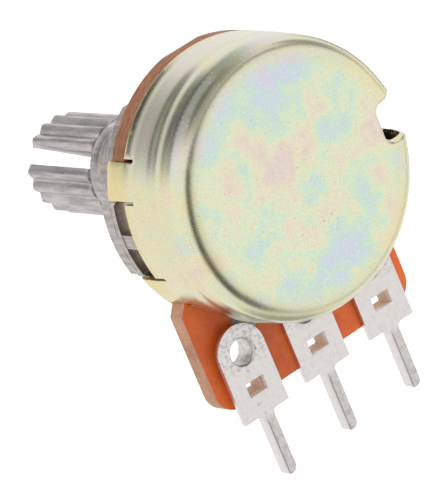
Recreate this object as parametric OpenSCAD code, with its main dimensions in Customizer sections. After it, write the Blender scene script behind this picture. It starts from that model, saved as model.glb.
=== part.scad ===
// Rotary potentiometer, 16 mm, single gang, with straight circuit-board pins.
// Millimetres. The origin is on the shaft axis in the mounting face, where the bush leaves it.
// The shaft points along -Y, the can lies behind at +Y, the pins point down along -Z.

/* [Shaft] */
// Diameter of the knurled head
shaft_d = 6; // [5.6:0.1:6.4]
// Length from the mounting face to the tip
shaft_l = 15; // [14:0.5:20]
// Length of the knurled stretch, from the tip
knurl_l = 7; // [4:0.5:7.5]
// Number of teeth in the knurl
knurl_teeth = 18; // [12:2:24]
// Depth of the grooves between the teeth
knurl_depth = 0.28; // [0.1:0.02:0.4]
// Width of the saw cut that splits the head
slot_w = 1; // [0.6:0.1:1.4]
// Depth of the saw cut, from the tip
slot_l = 7.1; // [4:0.1:7.5]
// Turn of the saw cut about the axis, from level, at rest
slot_turn = 36; // [0:1:90]
// Chamfer at the tip
tip_chamfer = 0.45; // [0.2:0.05:0.7]
// Diameter of the journal that runs in the bush
journal_d = 5; // [4.6:0.1:5.2]
// Diameter of the drive end inside the rotor
drive_d = 3.8; // [3.4:0.1:4]
// Distance across the two flats of the drive end
drive_flat = 2.9; // [2.6:0.1:3.2]
// Height of the staked head behind the rotor
stake_h = 0.3; // [0.2:0.05:0.5]

/* [Bush and front plate] */
// Outer diameter of the bush
bush_d = 7; // [6.8:0.1:8]
// Length of the bush, from the mounting face
bush_l = 6.7; // [6:0.1:6.8]
// Diameter of the plain pilot at the front end of the bush
pilot_d = 6.24; // [6:0.02:6.6]
// Length of the pilot
pilot_l = 0.5; // [0.3:0.1:1]
// Radial clearance of the journal in the bush
run_gap = 0.03; // [0.01:0.01:0.08]
// Step from the edge of the plate in to the round boss that carries the mounting face
boss_step = 1.2; // [0.8:0.1:2]
// Step from the mounting face back to the wings
boss_h = 1.25; // [0.8:0.05:1.4]
// Step from the outside of the can in to the edges of the plate and the wafer
rim_inset = 0.12; // [0.05:0.01:0.2]
// Height of the plate between its flats
plate_h = 12; // [11:0.2:13]
// Depth from the mounting face to the back of the plate
plate_back = 2.65; // [2.4:0.05:3]
// Half angle of a wing, seen from the axis
wing_angle = 16; // [12:1:17]
// Thickness of a wing
wing_t = 1.25; // [0.8:0.05:1.3]
// Thickness of the plate beside the wings
rim_t = 0.75; // [0.6:0.05:0.9]
// Thickness of the plate under a folded tab
pocket_t = 0.4; // [0.3:0.05:0.5]
// Step from the edge of a wing in to the pad behind it
pad_step = 0.75; // [0.5:0.05:1]
// Thickness of the pad, measured from the axis outward
pad_t = 0.3; // [0.2:0.05:0.5]
// Height of the pad, into the notch of the wafer
pad_h = 0.7; // [0.4:0.1:1]
// Width of the locating rib on a pad
rib_w = 0.85; // [0.6:0.05:1.2]

/* [Can] */
// Outer diameter at the open rim
can_d = 16.44; // [16.4:0.02:16.8]
// Draft of the wall: how much smaller the radius is at the back
can_draft = 0.05; // [0:0.01:0.1]
// Depth from the mounting face to the back of the can
can_back = 9.2; // [8.8:0.1:11]
// Thickness of the sheet
can_t = 0.3; // [0.25:0.01:0.34]
// Outer radius of the edge round the back
edge_r = 0.6; // [0.5:0.05:1]
// Outer radius of the gentler bend between the flat back and that edge
brow_r = 2.5; // [1.5:0.1:3]
// Angle that the gentler bend turns through
brow_angle = 12; // [5:1:16]
// Width of a fold-over tab
tab_w = 2.2; // [1.6:0.1:2.4]
// Angle of the tabs above and below the level line
tab_angle = 25.5; // [24:0.5:27]
// Length of a tab across the front of the plate
tab_reach = 1.9; // [1.2:0.1:2.2]
// Width of the slits beside a tab
slit_w = 0.3; // [0.2:0.05:0.35]
// Depth of the slits into the wall
slit_l = 0.75; // [0.4:0.05:1]
// Half width of the arch over the terminals, at the rim
arch_w = 6.8; // [6.6:0.1:7]
// Height of the arch over the terminals
arch_h = 2.3; // [1.8:0.1:2.6]
// Radius of the upper corners of the arch
arch_r = 0.9; // [0.5:0.1:1.2]
// Width of the notch in the back edge
notch_w = 2.2; // [1.8:0.1:2.6]
// Reach of the notch in from the wall
notch_in = 1.75; // [1.2:0.05:2]
// Radius of the inner corners of the notch
notch_r = 0.5; // [0.2:0.05:0.7]
// Reach of the stop flap, which is bent in from the wall below the notch
flap_l = 2.55; // [2.3:0.05:2.6]
// Clearance between the stop flap and the rotor disc
flap_gap = 0.3; // [0.2:0.05:0.5]

/* [Wafer] */
// Thickness
wafer_t = 1.2; // [1:0.1:1.6]
// Margin of the lobe beside the outer terminals
lobe_margin = 0.7; // [0.4:0.1:1]
// Step from the lower edges of the terminals up to the lower edge of the lobe
lobe_step = 0.87; // [0.6:0.01:0.9]
// Radius of the lower corners
lobe_r = 1.3; // [0.6:0.1:2]
// Distance from the axis to the shoulders of the lobe
shoulder_z = 5.2; // [4.8:0.1:5.6]
// Width of the slope of a shoulder
shoulder_in = 0.6; // [0.4:0.1:0.8]
// Height of the slope of a shoulder
shoulder_h = 0.8; // [0.5:0.1:1]
// Margin of bare wafer beside the printed layers
ink_margin = 0.2; // [0.1:0.05:0.3]
// Half angle of a side notch
wafer_notch_angle = 33.5; // [33:0.5:36]
// Margin of the slots behind the windows of the terminals
slot_margin = 0.1; // [0.05:0.05:0.2]
// Width of the flat at the top
top_flat = 2.6; // [1:0.2:4]

/* [Printed layers] */
// Thickness of the printed layers
ink_t = 0.05; // [0.03:0.01:0.06]
// Width of the carbon track
track_w = 1.1; // [0.8:0.1:1.3]
// Bare ring between the track and the collector
ink_gap = 0.4; // [0.3:0.05:0.5]
// Width of the collector ring
collector_w = 0.8; // [0.6:0.1:0.9]
// Half angle that the track leaves open over the terminals
track_open = 26; // [22:1:28]
// Angle that a silver pad covers at an end of the track
pad_angle = 10; // [6:1:12]
// Width of the silver pads under the terminals
pad_w = 2.6; // [2.2:0.1:3]
// Width of the silver lead from the collector
lead_w = 1.4; // [1:0.1:1.6]
// Reach of the silver pads below the rivet barrels
pad_down = 1.2; // [1.1:0.1:2]

/* [Terminals] */
// Spacing of the pins
pitch = 5; // [4.6:0.1:5.08]
// Thickness of the sheet
term_t = 0.3; // [0.2:0.05:0.4]
// Width of the plate
term_w = 3.3; // [3:0.1:3.5]
// Distance from the axis to the rivet barrel
barrel_z = 8.6; // [8.5:0.05:8.8]
// Bore of the rivet barrel
barrel_d = 1.55; // [1.3:0.05:1.6]
// Wall of the rivet barrel
barrel_t = 0.2; // [0.1:0.02:0.25]
// Diameter of the flared end on the front of the wafer
flare_d = 2.6; // [2.3:0.1:2.8]
// Distance from the axis to the lower edge of the plate
term_z = 12.52; // [12.2:0.02:13]
// Distance from the axis to the tips of the pins
pin_z = 16.5; // [15.5:0.1:18]
// Width of a pin
pin_w = 0.8; // [0.7:0.05:1]
// Depth of the channel that a pin is pressed into
pin_deep = 0.55; // [0.45:0.05:0.7]
// Radius of the fillets at the root of a pin
root_r = 0.3; // [0.1:0.05:0.4]
// Thickness of the pressed wall of a pin
pin_wall = 0.22; // [0.15:0.01:0.24]
// Width of the window above a pin
window_w = 1.3; // [1:0.1:1.6]
// Height of the window above a pin
window_h = 0.85; // [0.6:0.05:1]
// Height of the middle of the window above the lower edge
window_up = 1.7; // [1.5:0.05:1.9]
// How far terminal 3 stands off the wafer
lift_3 = 0.35; // [0:0.05:0.5]

/* [Rotor and wiper] */
// Overhang of the rotor disc past the track
rotor_edge = 0.05; // [0:0.05:0.3]
// Thickness of the rotor disc
rotor_t = 0.9; // [0.7:0.1:1.2]
// Diameter of the rotor hub
hub_d = 7.4; // [6.8:0.2:8]
// Height of the hub behind the disc
hub_h = 1.1; // [0.8:0.1:1.4]
// Distance from the printed layers to the rotor disc
wiper_room = 0.7; // [0.5:0.05:0.9]
// Thickness of the wiper spring
wiper_t = 0.12; // [0.1:0.01:0.15]
// Width of one wiper finger
finger_w = 0.32; // [0.25:0.01:0.36]
// Gap between the two fingers of a pair
finger_gap = 0.14; // [0.08:0.02:0.2]
// Length of a finger from the base to the contact
finger_l = 2.6; // [2.2:0.1:3]
// Outer radius of the curved contact at the end of a finger
contact_r = 0.35; // [0.3:0.05:0.4]
// Radius of the pegs that hold the spring on the rotor
peg_r = 0.3; // [0.25:0.05:0.35]
// Clearance left under the contacts of the wiper
contact_gap = 0.04; // [0.02:0.01:0.06]
// Overlap of the rotor's stop lug and the stop flap, measured from the axis outward
lug_lap = 0.8; // [0.5:0.05:0.9]
// Thickness of the stop lug of the rotor, measured from the axis outward
lug_t = 1.3; // [1:0.1:1.6]
// Turn of the shaft from end to end
travel = 300; // [280:5:310]

/* [Retaining ring] */
// Thickness
ring_t = 0.5; // [0.4:0.05:0.6]
// Outer diameter
ring_d = 6.6; // [6:0.1:7]
// Diameter of the groove in the journal
groove_d = 4.1; // [3.9:0.1:4.3]
// Opening of the ring
ring_open = 60; // [40:5:90]

/* [Hidden] */

$fn = 96;
// Overlap of cutters past the faces that they cut
cut = 0.01;
// Clearance of pieces that sit side by side and don't move
seat_gap = 0.05;
// Clearance of pieces that turn past each other
turn_gap = 0.1;
// Radius that is larger than every piece
far = 30;

can_r = can_d / 2;
can_back_r = can_r - can_draft;
// Centres of the gentler bend and of the edge round the back, as radius and y
brow_centre = [can_back_r - edge_r - (brow_r - edge_r) * sin(brow_angle), can_back - brow_r];
edge_centre = brow_centre + (brow_r - edge_r) * [sin(brow_angle), cos(brow_angle)];
plate_r = can_r - rim_inset;
wafer_r = plate_r;
boss_r = plate_r - boss_step;
pad_r = plate_r - pad_step;
wafer_notch_r = pad_r - pad_t;
track_r = wafer_notch_r - ink_margin - track_w / 2;
collector_r = track_r - track_w / 2 - ink_gap - collector_w / 2;
wafer_hole_r = collector_r - collector_w / 2 - ink_margin;
lobe_x = pitch + term_w / 2 + lobe_margin;
lobe_z = term_z - lobe_step;
shoulder_top = shoulder_z - shoulder_h;

wafer_front = plate_back;
wafer_back = wafer_front + wafer_t;
ink_back = wafer_back + ink_t;
wing_front = boss_h;
wing_back = wing_front + wing_t;
rim_front = plate_back - rim_t;
pocket_front = plate_back - pocket_t;
tab_front = pocket_front - can_t;
tab_half = tab_w / 2;
tab_end_r = can_r - can_t - tab_reach;
// Inner radius of the bend of a tab
bend_r = 0.15;
// Clearance beside and before a tab in its pocket
pocket_gap = 0.12;
shaft_r = shaft_d / 2;
journal_r = journal_d / 2;
stake_r = drive_d / 2 + stake_h;
knurl_end = -shaft_l + knurl_l;
journal_front = -bush_l - turn_gap;
// Half width of the floor of a groove of the knurl
groove_half = 0.05;
bore_r = journal_r + run_gap;
// Chamfer at the front end of the bush, outside and in the bore
soft_edge = 0.12;
// The ring sits in a recess in the back of the plate
recess_front = plate_back - ring_t - 2 * turn_gap;
ring_front = recess_front + turn_gap;
ring_back = ring_front + ring_t;
barrel_r = barrel_d / 2 + barrel_t;

rotor_front = ink_back + wiper_room;
rotor_r = track_r + track_w / 2 + rotor_edge;
hub_back = rotor_front + rotor_t + hub_h;
wiper_front = rotor_front - wiper_t;
contact_front = ink_back + contact_gap;
finger_pitch = finger_w + finger_gap;
// Angle at which the base of the wiper spring ends
wiper_end = 162;
// Angle from that end to the nearer peg, and from peg to peg
peg_in = 12;
peg_span = 28;
// The rotor's lug meets the stop flap at both ends of the travel
flap_front = rotor_front + rotor_t + flap_gap;
flap_tip_r = can_back_r - flap_l;
flap_w = notch_w - 2 * seat_gap;
flap_angle = asin(flap_w / 2 / flap_tip_r);
lug_angle = (360 - travel - 1) / 2 - flap_angle;
lug_r = flap_tip_r + lug_lap;
lug_back = can_back - can_t - 3 * turn_gap;

// Points of an arc, for profiles and outlines
function arc(centre, r, from, to, n = 8) =
    [for (i = [0:n]) let (a = from + (to - from) * i / n) centre + r * [cos(a), sin(a)]];

// Solid of revolution about the shaft axis, from a profile of [radius, y] points
module turned(profile) rotate([90, 0, 0]) rotate_extrude() polygon([for (p = profile) [p[0], -p[1]]]);

// Flat shape in X and Z, made thick from y = from to y = to
module slab(from, to) translate([0, to, 0]) rotate([90, 0, 0]) linear_extrude(to - from) children();

// Pie slice about the axis, for cutting rings to length
module slice(from, to) polygon(concat([[0, 0]], arc([0, 0], far, from, to, ceil((to - from) / 50))));

module ring_2d(r, w) difference() {
    circle(r + w / 2);
    circle(r - w / 2);
}

// Places a child at the four tabs of the can
module at_tabs() for (a = [tab_angle, 180 - tab_angle, 180 + tab_angle, -tab_angle]) rotate(a) children();

// Strip under a tab, from radius r outward
module tab_strip(r, half) at_tabs() translate([r, -half]) square([far, 2 * half]);

// Disc of radius r with the flats of the plate at the top and the bottom
module between_flats(r) intersection() {
    circle(r);
    square([far, plate_h], center = true);
}

module wings(r) intersection() {
    circle(r);
    union() for (side = [0, 180]) slice(side - wing_angle, side + wing_angle);
}

// Die-cast plate and bush; the lists give radius and y
module mounting_plate() color("silver") difference() {
    union() {
        turned([[0, -bush_l], [pilot_d / 2 - soft_edge, -bush_l], [pilot_d / 2, -bush_l + soft_edge],
                [pilot_d / 2, -bush_l + pilot_l], [bush_d / 2, -bush_l + pilot_l + (bush_d - pilot_d) / 2],
                [bush_d / 2, cut], [0, cut]]);
        slab(0, rim_front) between_flats(boss_r);
        slab(wing_front, wing_back) wings(plate_r);
        slab(rim_front, plate_back) intersection() {
            between_flats(plate_r);
            union() {
                circle(pad_r);
                difference() {
                    circle(far);
                    wings(far);
                }
            }
        }
        slab(plate_back - cut, plate_back + pad_h) difference() {
            wings(pad_r);
            circle(wafer_notch_r + seat_gap);
        }
        slab(wing_back - cut, wafer_back - seat_gap) difference() {
            square([2 * (plate_r - seat_gap), rib_w], center = true);
            circle(wafer_notch_r + seat_gap);
        }
    }
    slab(-cut, pocket_front) tab_strip(tab_end_r - pocket_gap, tab_half + pocket_gap);
    slab(-cut, far) tab_strip(can_r - can_t - seat_gap, tab_half + pocket_gap);
    turned([[0, -bush_l - cut], [bore_r + soft_edge, -bush_l - cut], [bore_r, -bush_l + soft_edge],
            [bore_r, recess_front], [ring_d / 2 + turn_gap, recess_front],
            [ring_d / 2 + turn_gap, plate_back + cut], [0, plate_back + cut]]);
}

// Drawn can; its front edge is turned in all round, and all but the four tabs is cut away
module can() color("khaki") {
    difference() {
        turned(concat(
            [[0, can_back]],
            arc(brow_centre, brow_r, 90, 90 - brow_angle, 3),
            arc(edge_centre, edge_r, 90 - brow_angle, 0),
            [[can_r, wafer_back]],
            arc([can_r - can_t - bend_r, pocket_front + bend_r], can_t + bend_r, 0, -90),
            [[tab_end_r, tab_front], [tab_end_r, pocket_front]],
            arc([can_r - can_t - bend_r, pocket_front + bend_r], bend_r, -90, 0),
            [[can_r - can_t, wafer_back]],
            arc(edge_centre, edge_r - can_t, 0, 90 - brow_angle),
            arc(brow_centre, brow_r - can_t, 90 - brow_angle, 90, 3),
            [[0, can_back - can_t]]));
        slab(-far, wafer_back) difference() {
            circle(far);
            tab_strip(0, tab_half);
        }
        rotate([90, 0, 0]) at_tabs() for (side = [-1, 1])
            translate([can_r, side * (tab_half + slit_w / 2), 0]) slit();
        translate([0, 0, -far]) linear_extrude(far - wafer_hole_r) arch_2d();
        slab(flap_front + can_t, far) notch_2d();
    }
    translate([-can_back_r + can_t / 2, flap_front, -flap_w / 2]) cube([flap_l - can_t / 2, can_t, flap_w]);
}

// Opening of the notch seen from behind, with rounded inner corners
module notch_2d() translate([-can_back_r + notch_in, 0]) {
    translate([-far, -notch_w / 2]) square([far - notch_r, notch_w]);
    translate([-far, -notch_w / 2 + notch_r]) square([far, notch_w - 2 * notch_r]);
    for (side = [-1, 1]) translate([-notch_r, side * (notch_w / 2 - notch_r)]) circle(notch_r, $fn = 32);
}

// Slit beside a tab, with a round end
module slit() {
    translate([0, 0, -wafer_back - slit_l / 2]) cube([4 * can_t, slit_w, slit_l + cut], center = true);
    translate([0, 0, -wafer_back - slit_l]) rotate([0, 90, 0])
        cylinder(4 * can_t, d = slit_w, center = true, $fn = 24);
}

// Arch over the terminals, in X and Y
module arch_2d() {
    top = wafer_back + arch_h;
    inset = 0.5;
    polygon([[-arch_w, wafer_back - cut], [-arch_w + inset, top - arch_r], [-arch_w + inset + arch_r, top],
             [arch_w - inset - arch_r, top], [arch_w - inset, top - arch_r], [arch_w, wafer_back - cut]]);
    for (side = [-1, 1]) translate([side * (arch_w - inset - arch_r), top - arch_r]) circle(arch_r, $fn = 48);
}

module wafer_outline() difference() {
    union() {
        intersection() {
            circle(wafer_r);
            translate([-far, -far]) square([2 * far, far + sqrt(pow(wafer_r, 2) - pow(top_flat / 2, 2))]);
        }
        polygon([[-lobe_x + shoulder_in, -shoulder_top], [-lobe_x, -shoulder_z],
                 [-lobe_x, -lobe_z + lobe_r], [-lobe_x + lobe_r, -lobe_z],
                 [lobe_x - lobe_r, -lobe_z], [lobe_x, -lobe_z + lobe_r],
                 [lobe_x, -shoulder_z], [lobe_x - shoulder_in, -shoulder_top]]);
        for (side = [-1, 1]) translate([side * (lobe_x - lobe_r), -lobe_z + lobe_r]) circle(lobe_r);
    }
    circle(wafer_hole_r);
    difference() {
        for (side = [0, 180]) slice(side - wafer_notch_angle, side + wafer_notch_angle);
        circle(wafer_notch_r);
        translate([-far, -far - shoulder_top]) square([2 * far, far]);
    }
    for (x = [-pitch, 0, pitch]) {
        barrel_hole(x);
        translate([x, 0]) window_2d(slot_margin);
    }
}

// Window of a terminal, or the slot behind it with a margin all round
module window_2d(margin) translate([0, -term_z + window_up])
    square([window_w + 2 * margin, window_h + 2 * margin], center = true);

module wafer() color("orangered") slab(wafer_front, wafer_back) wafer_outline();

module track_2d() difference() {
    ring_2d(track_r, track_w);
    slice(-90 - track_open, -90 + track_open);
}

module carbon_track() color([0.12, 0.12, 0.12]) slab(wafer_back, ink_back) track_2d();

// Hole for a rivet barrel in the wafer and in the printed pads
module barrel_hole(x) translate([x, -barrel_z]) circle(barrel_r + seat_gap, $fn = 48);

// Printed pad under a terminal, with the terminal's round top
module pad_2d(x) translate([x, -barrel_z]) {
    circle(pad_w / 2);
    translate([-pad_w / 2, -pad_down]) square([pad_w, pad_down]);
}

// Silver pad from one end of the track to its terminal; side is 1 on the right and 0 on the left
module end_pad(side) color("gainsboro") slab(wafer_back, ink_back) mirror([1 - side, 0]) difference() {
    union() {
        intersection() {
            ring_2d(track_r, track_w);
            slice(-90 + track_open - pad_angle, -90 + track_open);
        }
        pad_2d(pitch);
        polygon([track_point(track_open - pad_angle + 1, -track_w / 4),
                 track_point(track_open - pad_angle + 1, track_w / 3),
                 [pitch - pad_w / 2, -barrel_z], [pitch, -barrel_z + pad_w / 2],
                 track_point(track_open, track_w / 3), track_point(track_open, -track_w / 4)]);
    }
    barrel_hole(pitch);
    track_2d();
}

// Point on the track, at an angle from straight down and a distance outside its mean radius
function track_point(angle, out) = (track_r + out) * [sin(angle), -cos(angle)];

module collector_ring() color("gainsboro") slab(wafer_back, ink_back) difference() {
    union() {
        ring_2d(collector_r, collector_w);
        translate([-lead_w / 2, -barrel_z - pad_down]) square([lead_w, barrel_z + pad_down - collector_r]);
        pad_2d(0);
    }
    barrel_hole(0);
}

// Stamped terminal with a drawn rivet barrel and a pin pressed to a channel
module terminal(x, lift) color("whitesmoke") translate([x, lift, 0]) {
    difference() {
        union() {
            slab(ink_back, ink_back + term_t) {
                translate([0, -barrel_z]) circle(d = term_w);
                translate([-term_w / 2, -term_z]) square([term_w, term_z - barrel_z]);
            }
            translate([0, 0, -barrel_z]) barrel(wafer_front - lift);
        }
        translate([0, 0, -barrel_z]) barrel_bore(wafer_front - lift);
        slab(0, far) window_2d(0);
    }
    pin();
}

// Outside of the rivet barrel, flared against the front of the wafer
module barrel(front) turned([[0, front - barrel_t], [flare_d / 2, front - barrel_t], [flare_d / 2, front],
                             [barrel_r, front], [barrel_r, ink_back + cut], [0, ink_back + cut]]);

// Bore of the rivet barrel, with a rounded mouth at the back and a flare at the front
module barrel_bore(front) {
    mouth = term_t / 2;
    back = ink_back + term_t;
    wide_r = barrel_d / 2 + mouth;
    turned(concat([[0, front - barrel_t - cut], [wide_r, front - barrel_t - cut],
                   [barrel_d / 2, front + mouth]],
                  arc([wide_r, back - mouth], mouth, 180, 90, 4),
                  [[wide_r, back + cut], [0, back + cut]]));
}

// Channel-shaped pin with a rounded tip and small fillets at its root
module pin() {
    intersection() {
        translate([0, 0, -pin_z]) linear_extrude(pin_z - term_z + root_r) pin_section();
        slab(-far, far) {
            translate([-pin_w / 2, -pin_z + pin_w / 2]) square([pin_w, pin_z]);
            translate([0, -pin_z + pin_w / 2]) circle(pin_w / 2, $fn = 32);
        }
    }
    slab(ink_back, ink_back + term_t) translate([0, -term_z - root_r]) difference() {
        translate([-pin_w / 2 - root_r, 0]) square([pin_w + 2 * root_r, root_r + cut]);
        for (side = [-1, 1]) translate([side * (pin_w / 2 + root_r), 0]) circle(root_r, $fn = 32);
    }
}

module pin_section() translate([0, ink_back + term_t - pin_deep]) difference() {
    translate([-pin_w / 2, 0]) square([pin_w, pin_deep]);
    translate([-pin_w / 2 + pin_wall, -cut]) square([pin_w - 2 * pin_wall, pin_deep - pin_wall]);
}

module terminal_1() terminal(-pitch, 0);
module terminal_2() terminal(0, 0);
module terminal_3() terminal(pitch, lift_3);

// Cross-section of the knurled head, with V-shaped grooves
module knurl_2d() difference() {
    circle(d = shaft_d);
    for (i = [0:knurl_teeth - 1]) rotate((i + 0.5) * 360 / knurl_teeth)
        polygon([[shaft_r - knurl_depth, groove_half], [shaft_r - knurl_depth, -groove_half],
                 [shaft_r + cut, -knurl_depth - groove_half], [shaft_r + cut, knurl_depth + groove_half]]);
}

module drive_2d(gap) intersection() {
    circle(d = drive_d + 2 * gap);
    square([drive_flat + 2 * gap, far], center = true);
}

module shaft() color("lightgray") rotate([0, -slot_turn, 0]) difference() {
    union() {
        intersection() {
            slab(-shaft_l, knurl_end) knurl_2d();
            turned([[0, -shaft_l], [shaft_r - tip_chamfer, -shaft_l], [shaft_r, -shaft_l + tip_chamfer],
                    [shaft_r, knurl_end], [0, knurl_end]]);
        }
        turned([[0, knurl_end], [shaft_r - knurl_depth, knurl_end], [shaft_r, knurl_end + knurl_depth],
                [shaft_r, journal_front], [journal_r, journal_front], [journal_r, ring_front],
                [groove_d / 2, ring_front], [groove_d / 2, ring_back], [journal_r, ring_back],
                [journal_r, rotor_front - turn_gap], [0, rotor_front - turn_gap]]);
        slab(rotor_front - turn_gap - cut, hub_back) drive_2d(0);
        turned([[0, hub_back], [stake_r, hub_back], [stake_r, hub_back + stake_h / 2],
                [drive_d / 2, hub_back + stake_h], [0, hub_back + stake_h]]);
    }
    translate([-far / 2, -shaft_l - cut, -slot_w / 2]) cube([far, slot_l + cut, slot_w]);
}

module retaining_ring() color("dimgray") slab(ring_front, ring_back) difference() {
    ring_2d((ring_d + groove_d) / 4, (ring_d - groove_d) / 2);
    slice(90 - ring_open / 2, 90 + ring_open / 2);
}

// Seats of the wiper spring: two staked pegs on the rotor disc
module at_pegs() for (a = [wiper_end - peg_in - peg_span, wiper_end - peg_in])
    rotate(a) translate([(track_r + collector_r) / 2, 0]) children();

// Moulded carrier with a hub, five cored pockets, two pegs and the stop lug
module rotor() color([0.16, 0.16, 0.17]) difference() {
    union() {
        slab(rotor_front, rotor_front + rotor_t) circle(rotor_r);
        slab(rotor_front + rotor_t - cut, hub_back) circle(d = hub_d);
        slab(rotor_front + rotor_t - cut, lug_back) intersection() {
            ring_2d(lug_r - lug_t / 2, lug_t);
            slice(-lug_angle, lug_angle);
        }
        slab(wiper_front - wiper_t, rotor_front + cut) at_pegs() circle(peg_r, $fn = 32);
    }
    slab(rotor_front - cut, far) rotate(slot_turn) drive_2d(seat_gap / 2);
    slab(rotor_front + rotor_t / 2, rotor_front + rotor_t + cut) for (a = [60:60:300]) rotate(a)
        translate([(hub_d / 2 + rotor_r) / 2, 0])
            square([rotor_r - hub_d / 2 - rotor_t, 2 * rotor_t], center = true);
}

// One pair of bent fingers at a mean radius, from the base to the contact
module fingers(r) for (side = [-1, 1]) translate([0, 0, r + side * finger_pitch / 2 - finger_w / 2])
    linear_extrude(finger_w) polygon(concat(
        [[-finger_l, rotor_front], [-finger_l, wiper_front], [-finger_l / 2, wiper_front - wiper_t / 4]],
        arc([0, contact_front + contact_r], contact_r, 225, 315),
        arc([0, contact_front + contact_r], contact_r - wiper_t, 315, 225),
        [[-finger_l / 2, rotor_front - wiper_t / 4]]));

module wiper_spring() color("peru") {
    difference() {
        slab(wiper_front, rotor_front) intersection() {
            difference() {
                circle(track_r + 2.5 * finger_w);
                circle(collector_r - 1.5 * finger_w);
            }
            slice(90 + asin((finger_l - 3 * wiper_t) / track_r), wiper_end);
        }
        slab(0, far) at_pegs() circle(peg_r + seat_gap / 2, $fn = 32);
    }
    fingers(track_r);
    fingers(collector_r);
}

mounting_plate();
can();
wafer();
carbon_track();
end_pad(0);  // end_pad_1
end_pad(1);  // end_pad_3
collector_ring();
terminal_1();
terminal_2();
terminal_3();
shaft();
retaining_ring();
rotor();
wiper_spring();
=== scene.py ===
"""A rotary potentiometer, seen from behind: drawn can, front casting, wafer, terminals and shaft.

Sizes are millimetres in the dataclasses and become metres when a mesh is made.
"""

from __future__ import annotations

import logging
import math
from dataclasses import dataclass, field
from enum import Enum
from typing import Any, Callable, NamedTuple, Sequence

import bmesh
import bpy
import numpy as np
from mathutils import Matrix, Vector
from mathutils.geometry import delaunay_2d_cdt


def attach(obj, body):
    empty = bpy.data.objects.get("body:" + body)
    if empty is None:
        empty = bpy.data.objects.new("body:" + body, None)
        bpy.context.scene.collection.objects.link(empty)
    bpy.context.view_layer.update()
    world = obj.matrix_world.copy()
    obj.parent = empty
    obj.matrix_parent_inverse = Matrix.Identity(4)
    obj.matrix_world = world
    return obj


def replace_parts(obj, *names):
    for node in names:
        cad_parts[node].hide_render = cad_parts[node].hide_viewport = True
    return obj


MM = 0.001
SAME_PLACE = 1e-6
SAME_POLE = 1e-7
NO_LENGTH = 1e-8
FLAT_ANGLE = math.radians(1)
SHARP_ANGLE = math.radians(50)
ROUNDING_FACES = 2
FLAT_WEIGHT = 60
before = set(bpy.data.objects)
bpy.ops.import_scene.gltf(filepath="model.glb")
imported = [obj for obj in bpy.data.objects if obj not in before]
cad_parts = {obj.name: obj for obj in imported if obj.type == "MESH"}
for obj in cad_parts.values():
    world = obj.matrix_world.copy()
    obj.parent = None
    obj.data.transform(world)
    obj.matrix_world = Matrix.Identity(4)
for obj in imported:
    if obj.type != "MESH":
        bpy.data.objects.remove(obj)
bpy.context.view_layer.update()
LOG = logging.getLogger("potentiometer")

Colour = tuple[float, float, float]
Pair = tuple[float, float]
Triple = tuple[float, float, float]
WHITE: Colour = (1.0, 1.0, 1.0)


def srgb(red: int, green: int, blue: int) -> Colour:
    """Turn a screen colour into a linear one.

    Args:
        red: Red from 0 to 255.
        green: Green from 0 to 255.
        blue: Blue from 0 to 255.

    Returns:
        The linear colour, each part from 0 to 1.
    """
    parts = [c / 255 for c in (red, green, blue)]
    linear = [c / 12.92 if c <= 0.04045 else ((c + 0.055) / 1.055) ** 2.4 for c in parts]
    return linear[0], linear[1], linear[2]


# Node trees as expressions.


class Sock:
    """A socket of a node tree that Python's operators work on."""

    def __init__(self, graph: "Graph", socket: bpy.types.NodeSocket) -> None:
        """Keep the socket and the graph that it belongs to."""
        self.graph = graph
        self.socket = socket

    def _math(self, operation: str, first: Any, second: Any = None) -> "Sock":
        """Add one Math node.

        Args:
            operation: The Math node's operation.
            first: The first operand.
            second: The second operand, if the operation has one.

        Returns:
            The result.
        """
        values = {0: first} if second is None else {0: first, 1: second}
        return self.graph.node("ShaderNodeMath", {"operation": operation}, values)

    def __add__(self, other: Any) -> "Sock":
        """Add."""
        return self._math("ADD", self, other)

    __radd__ = __add__

    def __sub__(self, other: Any) -> "Sock":
        """Subtract."""
        return self._math("SUBTRACT", self, other)

    def __rsub__(self, other: Any) -> "Sock":
        """Subtract from a number."""
        return self._math("SUBTRACT", other, self)

    def __mul__(self, other: Any) -> "Sock":
        """Multiply."""
        return self._math("MULTIPLY", self, other)

    __rmul__ = __mul__

    def __truediv__(self, other: Any) -> "Sock":
        """Divide."""
        return self._math("DIVIDE", self, other)

    def __pow__(self, other: Any) -> "Sock":
        """Raise to a power."""
        return self._math("POWER", self, other)

    def __abs__(self) -> "Sock":
        """Take the size without the sign."""
        return self._math("ABSOLUTE", self)

    def low(self, other: Any) -> "Sock":
        """Take the smaller one."""
        return self._math("MINIMUM", self, other)

    def high(self, other: Any) -> "Sock":
        """Take the larger one."""
        return self._math("MAXIMUM", self, other)

    def fract(self) -> "Sock":
        """Take the part after the point."""
        return self._math("FRACT", self)

    def rise(self, start: Any, width: float) -> "Sock":
        """Rise straight from 0 at the start to 1 a width later."""
        return ((self - start) / width).high(0).low(1)

    def step(self, start: float, end: float) -> "Sock":
        """Rise smoothly from 0 to 1.

        Args:
            start: The value where the rise starts.
            end: The value where it ends, which may be the lower one.

        Returns:
            The smooth step.
        """
        kind = "ShaderNodeMapRange"
        settings = {"interpolation_type": "SMOOTHSTEP"}
        if end >= start:
            return self.graph.node(kind, settings, {"Value": self, "From Min": start, "From Max": end})
        return 1 - self.graph.node(kind, settings, {"Value": self, "From Min": end, "From Max": start})


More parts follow.
